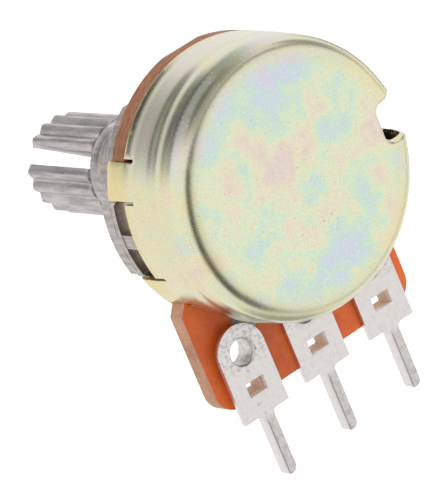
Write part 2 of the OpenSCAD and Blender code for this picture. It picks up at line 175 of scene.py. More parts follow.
class Graph:
    """A node tree that is filled by one method."""

    def __init__(self, tree: bpy.types.NodeTree) -> None:
        """Keep the tree."""
        self.tree = tree

    @staticmethod
    def _find(sockets: Any, key: int | str) -> bpy.types.NodeSocket:
        """Find a socket.

        Args:
            sockets: The inputs or outputs of a node.
            key: Its number, identifier or name.

        Returns:
            The socket.
        """
        if isinstance(key, int):
            return sockets[key]
        for socket in sockets:
            if socket.identifier == key:
                return socket
        return sockets[key]

    def node(
        self,
        kind: str,
        settings: dict[str, Any] | None = None,
        inputs: dict[int | str, Any] | None = None,
        output: int | str = 0,
    ) -> Sock:
        """Add a node.

        Args:
            kind: The node's type.
            settings: Its settings, with the stops of a colour ramp under "stops".
            inputs: A value or a link for each socket that is set.
            output: The output to return.

        Returns:
            The chosen output.
        """
        made = self.tree.nodes.new(kind)
        for name, value in (settings or {}).items():
            if name == "stops":
                ramp = made.color_ramp
                while len(ramp.elements) < len(value):
                    ramp.elements.new(0.5)
                for element, (place, colour) in zip(ramp.elements, value):
                    element.position = place
                    element.color = (*colour, 1.0)
            else:
                setattr(made, name, value)
        for key, value in (inputs or {}).items():
            socket = self._find(made.inputs, key)
            if isinstance(value, Sock):
                self.tree.links.new(value.socket, socket)
            elif isinstance(value, tuple) and len(value) == 3 and socket.type == "RGBA":
                socket.default_value = (*value, 1.0)
            else:
                socket.default_value = value
        if not made.outputs:
            return Sock(self, made.inputs[0])
        return Sock(self, self._find(made.outputs, output))

    def mix(self, factor: Any, first: Any, second: Any, blend: str = "MIX") -> Sock:
        """Mix two colours.

        Args:
            factor: Share of the second one.
            first: The first colour.
            second: The second colour.
            blend: How they are mixed.

        Returns:
            The mixed colour.
        """
        return self.node(
            "ShaderNodeMix",
            {"data_type": "RGBA", "blend_type": blend, "clamp_factor": True},
            {"Factor_Float": factor, "A_Color": first, "B_Color": second},
            "Result_Color",
        )

    def stretch(self, vector: Sock, scale: Triple) -> Sock:
        """Scale a vector.

        Args:
            vector: The vector.
            scale: The scale along each axis.

        Returns:
            The scaled vector.
        """
        return self.node("ShaderNodeMapping", {"vector_type": "POINT"}, {"Vector": vector, "Scale": scale})

    def locate(self, position: Sock) -> None:
        """Keep a position in millimetres, whole and as its three parts.

        Args:
            position: The position, in metres.
        """
        self.place = self.node(
            "ShaderNodeVectorMath", {"operation": "SCALE"}, {0: position, "Scale": 1 / MM}, "Vector"
        )
        self.x, self.y, self.z = (
            self.node("ShaderNodeSeparateXYZ", {}, {0: self.place}, axis) for axis in range(3)
        )

    def radius(self) -> Sock:
        """Give the distance from the shaft axis, in millimetres."""
        return (self.x * self.x + self.z * self.z) ** 0.5

    def noise(self, vector: Sock, scale: float, detail: float = 2.0, rough: float = 0.5) -> Sock:
        """Add a noise texture.

        Args:
            vector: Where it is read.
            scale: Cells for each unit of the vector.
            detail: Number of finer layers.
            rough: Strength of the finer layers.

        Returns:
            The noise, from 0 to 1.
        """
        return self.node(
            "ShaderNodeTexNoise", {}, {"Vector": vector, "Scale": scale, "Detail": detail, "Roughness": rough}
        )


class Surface(Graph):
    """The node tree of one material, with its shader and object coordinates in millimetres."""

    def __init__(self, name: str) -> None:
        """Make an empty material.

        Args:
            name: The material's name.
        """
        self.material = bpy.data.materials.new(name)
        self.material.use_nodes = True
        super().__init__(self.material.node_tree)
        self.tree.nodes.clear()
        self.locate(self.node("ShaderNodeTexCoord", {}, {}, "Object"))

    def across(self, pitch: float) -> Sock:
        """Give the distance along X from the middle of the nearest terminal."""
        return ((self.x / pitch + 0.5).fract() - 0.5) * pitch

    def windows(self, pitch: float, z: float, half: Pair, soft: Pair) -> Sock:
        """Give 1 at a rectangle at each terminal and 0 outside.

        Args:
            pitch: Distance between the terminals.
            z: Height of the rectangle's middle.
            half: Half its width and half its height.
            soft: Width of its soft edge at the sides, and at top and bottom.

        Returns:
            The share.
        """
        beside = abs(self.across(pitch)).step(half[0] + soft[0], half[0])
        return beside * abs(self.z - z).step(half[1] + soft[1], half[1])

    def close(
        self,
        constants: dict[str, Any],
        colour: Any,
        rough: Any,
        height: Any = None,
        depth: float = 0.02,
        metal: Any = None,
    ) -> bpy.types.Material:
        """Finish the material with its shader.

        Args:
            constants: Values that are the same all over the surface.
            colour: The base colour.
            rough: The roughness.
            height: The height of fine relief, from 0 to 1.
            depth: The depth of that relief, in millimetres.
            metal: The metallic share, if it varies.

        Returns:
            The material.
        """
        inputs: dict[int | str, Any] = {**constants, "Base Color": colour, "Roughness": rough}
        if metal is not None:
            inputs["Metallic"] = metal
        if height is not None:
            inputs["Normal"] = self.node(
                "ShaderNodeBump", {}, {"Strength": 1.0, "Distance": depth * MM, "Height": height}
            )
        shader = self.node("ShaderNodeBsdfPrincipled", {}, inputs)
        self.node("ShaderNodeOutputMaterial", {}, {"Surface": shader})
        return self.material


# Finishes.


@dataclass(frozen=True)
class Patch:
    """A soft-edged place on the part: where it starts and where it is full, along X, Y, Z and the radius."""

    x: tuple[Pair, ...] = ()
    y: tuple[Pair, ...] = ()
    z: tuple[Pair, ...] = ()
    r: tuple[Pair, ...] = ()

    def share(self, s: Surface) -> Sock:
        """Give 1 inside the place and 0 outside.

        Args:
            s: The material, whose coordinates are read.

        Returns:
            The share.
        """
        axes = [(s.x, self.x), (s.y, self.y), (s.z, self.z)]
        if self.r:
            axes.append((s.radius(), self.r))
        return math.prod(axis.step(*pair) for axis, pairs in axes for pair in pairs)


@dataclass(frozen=True)
class Chromate:
    """Zinc plating under a pale iridescent chromate film."""

    name: str = "iridescent_chromate"
    film: tuple[tuple[float, Colour], ...] = (
        (0.0, srgb(222, 217, 232)), (0.2, srgb(212, 226, 232)), (0.38, srgb(214, 235, 216)),
        (0.52, srgb(230, 238, 204)), (0.66, srgb(240, 230, 204)), (0.82, srgb(236, 218, 210)),
        (1.0, srgb(226, 218, 220)))
    rim: Colour = srgb(240, 226, 178)
    wall: Colour = srgb(234, 217, 176)
    tabs: Colour = srgb(236, 216, 148)
    # Olive colour of the painted shade at the rim's mouth and of the painted dark reflection on the rounded
    # corner.
    painted_shade_and_reflection: Colour = srgb(84, 86, 62)
    # Colour of the painted shade inside the notch.
    painted_notch_shade: Colour = srgb(44, 38, 38)
    grey: Colour = srgb(150, 150, 138)
    dust: Colour = srgb(250, 250, 248)
    dirt: Colour = srgb(92, 82, 66)
    place: Triple = (3.0, 0.0, 1.0)
    spread: float = 2.0
    relief: float = 0.003
    wall_y: Pair = (9.0, 7.6)
    tab_y: Pair = (4.6, 3.4)
    ring: Patch = Patch(y=((8.2, 9.0),), r=((6.2, 7.4),))
    above: Patch = Patch(z=((3.2, 5.4),))
    below: Patch = Patch(x=((-4.5, -2.0),), z=((-3.6, -5.8),))
    middle: Patch = Patch(x=((3.8, 2.2), (-2.6, -1.0)), z=((3.6, 2.2), (-0.6, 0.8)))
    left: Patch = Patch(x=((2.6, 4.6),), z=((4.6, 3.0), (-3.0, -1.0)))
    # Where shade is painted in blotches at the rim's mouth.
    painted_rim_shade: Patch = Patch(x=((0.8, 2.6),), y=((4.7, 4.0), (3.7, 3.85)), z=((4.9, 6.4),))
    # Where a dark reflection is painted on the rounded corner.
    corner: Patch = Patch(x=((-2.0, 1.5),), y=((7.7, 8.4), (9.16, 9.0)), z=((4.4, 6.6),))
    # Where shade is painted inside the notch, at the foot of the stop flap.
    foot: Patch = Patch(
        x=((-7.0, -7.5),), y=((6.35, 6.15), (5.2, 5.5)), z=((1.25, 1.05), (-1.25, -1.05)))

    def drift(self, s: Surface) -> Sock:
        """Give the slow change of the film over the back: blue above and below, pink in the middle.

        Args:
            s: The material.

        Returns:
            What is added to the film's thickness.
        """
        thicker = self.middle.share(s) * 0.2 + self.left.share(s) * 0.02
        return thicker - self.above.share(s) * 0.26 - self.below.share(s) * 0.2

    def zones(self, s: Surface, patch: Sock, tone: Sock) -> Sock:
        """Change the film's colour on the rounded edge, the wall and the tabs, and paint shade at the rim's
        mouth, a dark reflection on the rounded corner and shade in the notch.

        Args:
            s: The material.
            patch: The noise that breaks the zones up.
            tone: The colour of the film.

        Returns:
            The changed colour.
        """
        tone = s.mix(self.ring.share(s) * (0.35 + patch * 0.5), tone, self.rim)
        tone = s.mix(s.y.step(*self.wall_y) * 0.55, tone, self.wall)
        tone = s.mix(s.y.step(*self.tab_y) * 0.7, tone, self.tabs)
        # Painted shade in blotches at the rim's mouth, and a painted dark reflection on the rounded corner.
        painted_rim_shade = self.painted_rim_shade.share(s) * patch.step(0.3, 0.5) * 0.75
        tone = s.mix(painted_rim_shade.high(self.corner.share(s) * (0.45 + patch * 0.4)), tone, self.painted_shade_and_reflection)
        # Painted shade inside the notch, at the foot of the stop flap.
        return s.mix(self.foot.share(s), tone, self.painted_notch_shade)

    def material(self) -> bpy.types.Material:
        """Make the material.

        Returns:
            The material.
        """
        s = Surface(self.name)
        moved = s.node("ShaderNodeVectorMath", {"operation": "ADD"}, {0: s.place, 1: self.place}, "Vector")
        cloud = s.noise(moved, 0.3, 2.0, 0.5)
        patch = s.noise(moved, 0.7, 2.6, 0.5)
        thick = ((cloud * 0.45 + patch * 0.55) - 0.5) * self.spread + 0.5 + self.drift(s)
        film = s.node("ShaderNodeValToRGB", {"stops": self.film}, {"Fac": thick}, "Color")
        tone = self.zones(s, patch, film)
        grain = s.noise(s.place, 9.0, 3.0, 0.7)
        dust = s.noise(s.place, 5.2, 2.0, 0.6)
        tone = s.mix(grain.step(0.62, 0.34) * 0.15, tone, self.grey)
        tone = s.mix(dust.step(0.62, 0.76) * 0.5, tone, self.dust)
        specks = s.noise(s.place, 1.9, 4.0, 0.75).step(0.69, 0.75)
        points = s.noise(s.place, 6.4, 2.0, 0.6).step(0.69, 0.76)
        tone = s.mix((specks * 0.55).high(points * 0.6), tone, self.dirt)
        rough = 0.2 + patch * 0.08 + grain * 0.06 + specks * 0.2
        return s.close({"Metallic": 1.0}, tone, rough, grain * 0.7 + dust * 0.3 - specks, self.relief)


@dataclass(frozen=True)
class CastZinc:
    """Die-cast zinc, a warm grey with flow lines and a granular skin, with painted light that makes the
    plate's pockets pale.
    """

    name: str = "cast_zinc"
    light: Colour = srgb(208, 201, 197)
    dark: Colour = srgb(160, 152, 148)
    pit: Colour = srgb(96, 88, 84)
    # Colour of the painted light in the plate's pockets.
    inside: Colour = srgb(252, 234, 218)
    stretch: Triple = (1.0, 0.35, 2.6)
    roughness: float = 0.34
    relief: float = 0.01
    seam_y: float = 2.1
    seam_r: float = 7.2
    seam_half: float = 0.09
    seam_soft: float = 0.2
    painted_light_pocket: Patch = Patch(y=((1.2, 1.35),), r=((7.55, 7.35), (5.6, 5.9)))

    def material(self) -> bpy.types.Material:
        """Make the material.

        Returns:
            The material.
        """
        s = Surface(self.name)
        flow = s.noise(s.stretch(s.place, self.stretch), 1.1, 4.0, 0.62)
        skin = s.noise(s.place, 8.0, 3.0, 0.65)
        pits = s.noise(s.place, 3.6, 3.0, 0.7).step(0.66, 0.74)
        tone = s.mix(flow.step(0.34, 0.66) * 0.65 + skin.step(0.35, 0.7) * 0.3, self.light, self.dark)
        seam = (1 - abs(s.y - self.seam_y) / self.seam_half).high(0)
        seam = s.radius().step(self.seam_r, self.seam_r + self.seam_soft) * seam
        pits = pits.high(seam * s.noise(s.place, 1.7, 3.0, 0.7).step(0.44, 0.56))
        tone = s.mix(pits * 0.6, tone, self.pit)
        # Painted light in the plate's pockets, which are also made less metallic.
        painted_light_pocket = self.painted_light_pocket.share(s)
        tone = s.mix(painted_light_pocket * 0.8, tone, self.inside)
        rough = self.roughness + flow * 0.1 + skin * 0.08 + pits * 0.15
        height = flow * 0.4 + skin * 0.4 - pits * 0.8
        return s.close({}, tone, rough, height, self.relief, 1 - painted_light_pocket * 0.9)


@dataclass(frozen=True)
class Laminate:
    """Paper laminate: a satin orange-red face or a tan, fibrous punched edge, with painted shade along the
    upper part of its outer rim beside the can and painted light in and round the slots.
    """

    name: str
    light: Colour
    dark: Colour
    fibre: Colour
    layers: float
    roughness: float
    # Colour and place of the painted shade along the upper part of the outer rim, beside the can.
    top: Colour = srgb(84, 40, 28)
    punched: Patch = Patch(y=((3.5, 3.7),), z=((-2.0, 1.0),), r=((7.5, 7.7),))
    # Colour of the painted light in and round the slots.
    painted_slot_light: Colour = srgb(255, 232, 210)
    slot_z: float = -10.9
    slot_half: Pair = (0.87, 0.62)
    slot_soft: Pair = (0.11, 0.1)
    pitch: float = 5.0
    relief: float = 0.012

    def material(self) -> bpy.types.Material:
        """Make the material.

        Returns:
            The material.
        """
        s = Surface(self.name)
        cloud = s.noise(s.place, 0.5, 3.0, 0.6)
        grain = s.noise(s.stretch(s.place, (1.0, self.layers, 1.0)), 4.0, 4.0, 0.7)
        streak = s.noise(s.stretch(s.place, (1.0, 5.0, 1.0)), 1.6, 4.0, 0.75)
        tone = s.mix(cloud.step(0.3, 0.7) * 0.6 + grain.step(0.35, 0.75) * 0.4, self.light, self.dark)
        tone = s.mix(grain.step(0.56, 0.68) * 0.5, tone, self.fibre)
        # Painted shade along the upper part of the outer rim, beside the can.
        tone = s.mix(self.punched.share(s) * (0.55 + streak.step(0.4, 0.6) * 0.45), tone, self.top)
        # Painted light on the slot walls and a narrow border round them.
        slots = s.windows(self.pitch, self.slot_z, self.slot_half, self.slot_soft)
        tone = s.mix(slots * 0.9, tone, self.painted_slot_light)
        rough = self.roughness + grain * 0.2
        return s.close({"Metallic": 0.0, "IOR": 1.5}, tone, rough, grain, self.relief)


@dataclass(frozen=True)
class Tin:
    """Tin plating with a frosted skin, mottled round the rivet barrels, grey in the pins' channels, with a
    painted dark reflection line beside each channel.
    """

    name: str = "tin_plate"
    light: Colour = srgb(234, 229, 227)
    dull: Colour = srgb(182, 177, 173)
    stain_and_painted_reflection: Colour = srgb(112, 102, 95)
    relief: float = 0.012
    pitch: float = 5.0
    barrel_z: Pair = (-9.9, -8.9)
    pin_z: Pair = (-12.5, -13.2)
    channel: float = 0.19
    channel_soft: float = 0.06
    painted_reflection_half: float = 0.07
    window_z: float = -10.9
    window_half: Pair = (0.68, 0.45)
    window_soft: Pair = (0.06, 0.07)

    def material(self) -> bpy.types.Material:
        """Make the material.

        Returns:
            The material.
        """
        s = Surface(self.name)
        cloud = s.noise(s.place, 1.2, 4.0, 0.66)
        frost = s.noise(s.place, 4.2, 4.0, 0.72)
        streak = s.noise(s.stretch(s.place, (1.0, 1.0, 0.16)), 8.0, 2.0, 0.6)
        barrel, pin = s.z.step(*self.barrel_z), s.z.step(*self.pin_z)
        across = s.across(self.pitch)
        # Painted dark reflection: a thin line along the channel's flange on each pin, in the same colour as
        # the stains.
        line = (1 - abs(across - self.channel) / self.painted_reflection_half).high(0) * pin
        hollow = across.step(self.channel, self.channel - self.channel_soft) * pin
        mottle = frost.step(0.46, 0.6) * (0.12 + barrel * 0.5 + hollow * 0.25) + hollow * 0.35
        tone = s.mix(mottle + streak.step(0.52, 0.7) * 0.12, self.light, self.dull)
        spots = cloud.step(0.6, 0.74) * frost.step(0.5, 0.62) * 0.7
        tone = s.mix(spots.high(line * 0.75), tone, self.stain_and_painted_reflection)
        rough = 0.27 + cloud * 0.12 + frost * 0.1
        height = frost * (0.35 + barrel * 0.5 + pin * 0.25) + streak * 0.3 - line
        window = s.windows(self.pitch, self.window_z, self.window_half, self.window_soft)
        return s.close({}, tone, rough, height, self.relief, 1 - window * 0.75)


@dataclass(frozen=True)
class Plain:
    """A plain finish with a fine grain: print, plastic, spring steel or bronze."""

    name: str
    light: Colour
    dark: Colour
    metal: float
    roughness: float
    scale: float = 8.0
    depth: float = 0.006

    def material(self) -> bpy.types.Material:
        """Make the material.

        Returns:
            The material.
        """
        s = Surface(self.name)
        grain = s.noise(s.place, self.scale, 3.0, 0.6)
        cloud = s.noise(s.place, self.scale / 8, 2.0, 0.5)
        colour = s.mix(grain.step(0.3, 0.75) * 0.6 + cloud * 0.3, self.light, self.dark)
        return s.close({"Metallic": self.metal}, colour, self.roughness + grain * 0.14, grain, self.depth)


# Mesh helpers.


def link(name: str, data: bpy.types.ID) -> bpy.types.Object:
    """Make an object from its data and link it to the scene.

    Args:
        name: The object's name.
        data: Its mesh, lamp or camera.

    Returns:
        The linked object.
    """
    made = bpy.data.objects.new(name, data)
    bpy.context.scene.collection.objects.link(made)
    return made


def new_object(
    name: str, points: Sequence[Sequence[float]], faces: Sequence[Sequence[int]]
) -> bpy.types.Object:
    """Make an object from points in millimetres.

    Args:
        name: The object's name.
        points: Its points.
        faces: Its faces, each a list of point numbers.

    Returns:
        The linked object.
    """
    mesh = bpy.data.meshes.new(name)
    mesh.from_pydata([tuple(c * MM for c in p) for p in points], [], [list(f) for f in faces])
    return link(name, mesh)


def edit(target: bpy.types.Object, change: Callable[[bmesh.types.BMesh], None]) -> bpy.types.Object:
    """Change a mesh through bmesh.

    Args:
        target: The object.
        change: What to do with its bmesh.

    Returns:
        The same object.
    """
    mesh = bmesh.new()
    mesh.from_mesh(target.data)
    change(mesh)
    mesh.to_mesh(target.data)
    mesh.free()
    return target


def cad_copy(node: str, name: str) -> bpy.types.Object:
    """Copy a CAD node's mesh, merged and with its flat faces joined.

    Args:
        node: The node.
        name: Name of the copy.

    Returns:
        The copy. The node itself isn't changed.
    """
    made = link(name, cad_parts[node].data.copy())
    made.data.materials.clear()

    def clean(mesh: bmesh.types.BMesh) -> None:
        """Merge doubles and join flat faces.

        Args:
            mesh: The copy's mesh.
        """
        bmesh.ops.remove_doubles(mesh, verts=mesh.verts, dist=SAME_PLACE)
        bmesh.ops.dissolve_limit(mesh, angle_limit=FLAT_ANGLE, verts=mesh.verts, edges=mesh.edges)
        bmesh.ops.recalc_face_normals(mesh, faces=mesh.faces)

    return edit(made, clean)


def bake(target: bpy.types.Object) -> bpy.types.Object:
    """Turn an object's modifiers into plain mesh.

    Args:
        target: The object.

    Returns:
        The same object, without modifiers.
    """
    graph = bpy.context.evaluated_depsgraph_get()
    target.data = bpy.data.meshes.new_from_object(target.evaluated_get(graph), depsgraph=graph)
    target.modifiers.clear()
    return target


def soften(target: bpy.types.Object, width: float, angle: float = 30.0) -> bpy.types.Object:
    """Round the edges and shade smooth.

    Args:
        target: The object.
        width: Width of the rounding, in millimetres.
        angle: Edges sharper than this are rounded, in degrees.

    Returns:
        The same object, with plain mesh.
    """
    bevel = target.modifiers.new("edges", "BEVEL")
    bevel.width, bevel.segments = width * MM, ROUNDING_FACES
    bevel.limit_method, bevel.angle_limit = "ANGLE", math.radians(angle)
    bevel.use_clamp_overlap, bevel.miter_outer = True, "MITER_ARC"
    bake(target)
    target.data.shade_smooth()
    target.data.set_sharp_from_angle(angle=SHARP_ANGLE)
    normals = target.modifiers.new("normals", "WEIGHTED_NORMAL")
    normals.keep_sharp, normals.weight = True, FLAT_WEIGHT
    return bake(target)


def keep_behind(target: bpy.types.Object, y: float, close: Callable[..., Any]) -> bpy.types.Object:
    """Cut off what lies in front of a plane across the axis.

    Args:
        target: The object.
        y: Place of the plane, in millimetres.
        close: The bmesh operation that closes the cut.

    Returns:
        The same object.
    """

    def cut(mesh: bmesh.types.BMesh) -> None:
        """Cut the mesh and close it.

        Args:
            mesh: The object's mesh.
        """
        geometry = [*mesh.verts, *mesh.edges, *mesh.faces]
        found = bmesh.ops.bisect_plane(
            mesh, geom=geometry, plane_co=(0, y * MM, 0), plane_no=(0, -1, 0), clear_outer=True)
        close(mesh, edges=[e for e in found["geom_cut"] if isinstance(e, bmesh.types.BMEdge)])
        bmesh.ops.recalc_face_normals(mesh, faces=mesh.faces)

    return edit(target, cut)


def join(name: str, parts: Sequence[bpy.types.Object]) -> bpy.types.Object:
    """Join several objects into one.

    Args:
        name: Name of the joined object.
        parts: The objects, which are used up.

    Returns:
        The joined object.
    """
    with bpy.context.temp_override(active_object=parts[0], selected_editable_objects=list(parts)):
        bpy.ops.object.join()
    parts[0].name = name
    return parts[0]


def dress(target: bpy.types.Object, materials: Sequence[bpy.types.Material]) -> None:
    """Put materials in an object's slots.

    Args:
        target: The object.
        materials: The materials, in the order of the slots.
    """
    target.data.materials.clear()
    for material in materials:
        target.data.materials.append(material)


def lathe(name: str, profile: Sequence[Pair], around: int, closed: bool) -> bpy.types.Object:
    """Turn a profile about the shaft axis.

    Args:
        name: The object's name.
        profile: Points (radius, y), outside on the left when walking along it towards -y.
        around: Number of points round the axis.
        closed: Whether the profile's last point joins its first one.

    Returns:
        The turned object, with merged poles.
    """
    points = [
        (r * math.cos(2 * math.pi * k / around), y, r * math.sin(2 * math.pi * k / around))
        for r, y in profile
        for k in range(around)
    ]
    rows = len(profile)
    faces = []
    for i in range(rows if closed else rows - 1):
        j = (i + 1) % rows
        for k in range(around):
            n = (k + 1) % around
            faces.append([i * around + k, i * around + n, j * around + n, j * around + k])
    made = new_object(name, points, faces)

    def clean(mesh: bmesh.types.BMesh) -> None:
        """Merge the poles and turn the faces outward.

        Args:
            mesh: The turned mesh.
        """
        bmesh.ops.remove_doubles(mesh, verts=mesh.verts, dist=SAME_POLE)
        bmesh.ops.dissolve_degenerate(mesh, dist=NO_LENGTH, edges=mesh.edges)
        bmesh.ops.recalc_face_normals(mesh, faces=mesh.faces)

    return edit(made, clean)


class Tree(Graph):
    """A Geometry Nodes tree with named inputs, used once on an object and then made plain."""

    def __init__(self, name: str, inputs: dict[str, float]) -> None:
        """Make the tree and its sockets.

        Args:
            name: The tree's name.
            inputs: The default of each named size, in millimetres or as a count.
        """
        group = bpy.data.node_groups.new(name, "GeometryNodeTree")
        group.interface.new_socket("Geometry", in_out="INPUT", socket_type="NodeSocketGeometry")
        group.interface.new_socket("Geometry", in_out="OUTPUT", socket_type="NodeSocketGeometry")
        for label, value in inputs.items():
            made = group.interface.new_socket(label, in_out="INPUT", socket_type="NodeSocketFloat")
            made.default_value = value
        super().__init__(group)
        self.inputs = inputs
        self.shape = self.node("NodeGroupInput")
        self.locate(self.node("GeometryNodeInputPosition"))

    def size(self, name: str) -> Sock:
        """Give a named input."""
        return self.node("NodeGroupInput", {}, {}, name)

    def turn(self) -> Sock:
        """Give the angle about the axis, as a share of a full turn from 0 to 1."""
        angle = self.node("ShaderNodeMath", {"operation": "ARCTAN2"}, {0: self.z, 1: self.x})
        return angle / (2 * math.pi) + 0.5

    def sink(self, depth: Sock) -> Sock:
        """Move each point towards the axis.

        Args:
            depth: How far, in millimetres.

        Returns:
            The moved geometry.
        """
        share = depth * -MM / self.radius().high(0.01)
        offset = self.node("ShaderNodeCombineXYZ", {}, {"X": self.x * share, "Z": self.z * share})
        return self.node("GeometryNodeSetPosition", {}, {"Geometry": self.shape, "Offset": offset})

    def run(self, target: bpy.types.Object, result: Sock, material: bpy.types.Material) -> bpy.types.Object:
        """Close the tree, use it on an object and make the result plain.

        Args:
            target: The object.
            result: The geometry that the tree gives.
            material: The material that it is given.

        Returns:
            The same object, with plain mesh.
        """
        result = self.node("GeometryNodeRealizeInstances", {}, {"Geometry": result})
        result = self.node("GeometryNodeSetMaterial", {}, {"Geometry": result, "Material": material})
        self.node("NodeGroupOutput", {}, {0: result})
        modifier = target.modifiers.new(self.tree.name, "NODES")
        modifier.node_group = self.tree
        for item in self.tree.interface.items_tree:
            if item.in_out == "INPUT" and item.name in self.inputs:
                modifier[item.identifier] = float(self.inputs[item.name])
        return bake(target)


# The drawn can.


class Zone(Enum):
    """What a point of the can's flat pattern belongs to."""

    SHELL = "shell"
    FLAP = "flap"
    CUT = "cut"


class Stations(NamedTuple):
    """Where the parts of the sheet end, as distances along it from the middle of the back."""

    flat: float
    brow: float
    corner: float
    wall: float
    bend: float
    tip: float
    tab: float


class Segments:
    """Line segments in the plane, for distances to them."""

    def __init__(self, ends: Sequence[Sequence[float]]) -> None:
        """Keep the segments.

        Args:
            ends: The segments, each as (x, y, x, y) of its two ends.
        """
        table = np.array(ends)
        self.start, self.along = table[:, :2], table[:, 2:] - table[:, :2]
        self.length = (self.along ** 2).sum(1)

    def distance(self, point: Sequence[float]) -> float:
        """Give the distance to the nearest segment.

        Args:
            point: The point that it is measured from.

        Returns:
            The distance.
        """
        offset = np.array(point) - self.start
        share = np.clip((offset * self.along).sum(1) / self.length, 0, 1)
        return float(np.hypot(*(offset - self.along * share[:, None]).T).min())


@dataclass
class Can:
    """The drawn steel cover.

    Its flat pattern is worked out in the plane, with the distance along the sheet as the radius,
    then cut, meshed and folded up, and given its thickness.
    """

    rim_r: float = 8.22
    back_r: float = 8.17
    back: float = 9.2
    sheet: float = 0.3
    edge: float = 0.95
    brow_angle: float = math.radians(12)
    face_middle: Pair = (-0.4, 0.08)
    face_r: float = 6.85
    rim: float = 3.85
    tab_half: float = 1.1
    tab_angles: tuple[float, ...] = (25.5, 154.5, 205.5, 334.5)
    tab_end_r: float = 6.02
    tab_front: float = 1.95
    fold: float = 0.45
    slit: float = 0.2
    slit_l: float = 0.75
    slit_end_r: float = 0.125
    arch_w: float = 6.8
    arch_top: float = 6.15
    arch_slope: float = 0.5
    arch_r: float = 0.9
    notch_half: float = 1.1
    notch_x: float = 6.42
    notch_r: float = 0.5
    notch_roll: float = 0.34
    flare: float = 0.28
    flare_l: float = 0.45
    flap_y: float = 6.1
    flap_x: float = 5.62
    flap_half: float = 1.05
    flap_fold: float = 0.34
    hollow: float = 0.05
    hollow_middle: Pair = (1.5, -1.0)
    hollow_spread: float = 14.0
    draw_marks: tuple[Pair, ...] = (
        (3.85, 0.0), (4.3, 0.03), (4.9, 0.01), (6.2, 0.0), (6.95, 0.07), (7.4, 0.04), (8.45, 0.12),
        (9.1, 0.0))
    mark_sway: float = 0.25
    cell: float = 0.36
    rim_step: float = 2.5
    ring_points: tuple[int, int] = (8, 156)
    fine_cell: float = 0.08
    fine_half: float = 2.2
    fine_reach: float = 1.6
    fine_margin: Pair = (0.5, 0.6)
    fine_gap: float = 0.4
    cut_gap: float = 0.05
    point_gap: float = 1e-5
    fold_gap: float = 1e-4
    tolerance: float = 1e-6
    merge: float = 0.006
    rounding: float = 0.05
    rounding_angle: float = 40.0
    at: Stations = field(init=False)
    edge_y: float = field(init=False)
    flap_start: float = field(init=False)
    flap_bend: float = field(init=False)
    flap_end: float = field(init=False)

    def __post_init__(self) -> None:
        """Work out where the parts of the sheet and the flap start and end."""
        flat = self.back_r - self.edge
        self.edge_y = self.back - self.edge
        brow = flat + self.edge * self.brow_angle
        corner = brow + self.edge * (math.pi / 2 - self.brow_angle)
        wall = corner + math.hypot(self.rim_r - self.back_r, self.edge_y - self.rim)
        bend = wall + self.rim - self.tab_front - self.fold
        tip = bend + self.fold * math.pi / 2
        self.at = Stations(flat, brow, corner, wall, bend, tip, tip + self.rim_r - self.fold - self.tab_end_r)
        self.flap_start = self.along(self.flap_y - self.flap_fold)
        self.flap_bend = self.flap_fold * math.pi / 2
        self.flap_end = self.flap_start - self.flap_bend - (self.back_r - self.flap_fold - self.flap_x)

    def profile(self, s: float) -> Triple:
        """Fold one length of sheet.

        Args:
            s: Distance along the sheet from the middle of the back.

        Returns:
            Its radius and y on the outside, and the tilt of the sheet from flat.
        """
        at = self.at
        if s <= at.flat:
            return s, self.back, 0.0
        if s <= at.corner:
            a = (s - at.flat) / self.edge
            return at.flat + self.edge * math.sin(a), self.edge_y + self.edge * math.cos(a), a
        if s <= at.wall:
            k = (s - at.corner) / (at.wall - at.corner)
            y = self.edge_y + (self.rim - self.edge_y) * k
            return self.back_r + (self.rim_r - self.back_r) * k, y, math.pi / 2
        if s <= at.bend:
            return self.rim_r, self.rim - (s - at.wall), math.pi / 2
        if s <= at.tip:
            a = (s - at.bend) / self.fold
            radius = self.rim_r - self.fold * (1 - math.cos(a))
            return radius, self.tab_front + self.fold * (1 - math.sin(a)), math.pi / 2 + a
        return self.rim_r - self.fold - (s - at.tip), self.tab_front, math.pi

    def along(self, y: float) -> float:
        """Give the distance along the sheet of a height on the wall."""
        down = (self.edge_y - y) / (self.edge_y - self.rim)
        return self.at.corner + down * (self.at.wall - self.at.corner)

    def tab_offset(self, angle: float) -> float:
        """Give the angle from the nearest tab's middle, in radians."""
        offsets = [(angle - math.radians(a) + math.pi) % (2 * math.pi) - math.pi for a in self.tab_angles]
        return min(offsets, key=abs)

    def in_notch(self, s: float, angle: float) -> bool:
        """Say whether a point of the flat pattern is inside the notch.

        Args:
            s: Distance along the sheet from the middle of the back.
            angle: The angle about the axis.

        Returns:
            Whether it is.
        """
        if s > self.flap_start or math.cos(angle) > 0:
            return False
        radius = self.profile(s)[0]
        depth, side = -radius * math.cos(angle) - self.notch_x, abs(radius * math.sin(angle))
        if depth < 0 or side > self.notch_half:
            return False
        if depth > self.notch_r or side < self.notch_half - self.notch_r:
            return True
        return math.hypot(depth - self.notch_r, side - self.notch_half + self.notch_r) < self.notch_r

    def zone(self, u: float, v: float) -> Zone:
        """Say what a point of the flat pattern belongs to.

        Args:
            u: Its place along X.
            v: Its place along Z.

        Returns:
            The zone.
        """
        at = self.at
        s, angle = math.hypot(u, v), math.atan2(v, u)
        radius, y, _ = self.profile(s)
        if self.in_notch(s, angle):
            inside = self.flap_end < s and abs(radius * math.sin(angle)) < self.flap_half
            return Zone.FLAP if inside else Zone.CUT
        offset = abs(self.tab_offset(angle)) * self.rim_r
        if s > at.wall:
            on_tab = offset <= self.tab_half + self.tolerance and s <= at.tab
            return Zone.SHELL if on_tab else Zone.CUT
        deep, middle = at.wall - self.slit_l, self.tab_half + self.slit / 2
        if s > deep and abs(offset - middle) < self.slit / 2:
            return Zone.CUT
        if math.hypot(offset - middle, s - deep) < self.slit_end_r:
            return Zone.CUT
        if v < 0 and s > at.flat and self.under_arch(radius * math.cos(angle), y):
            return Zone.CUT
        return Zone.SHELL

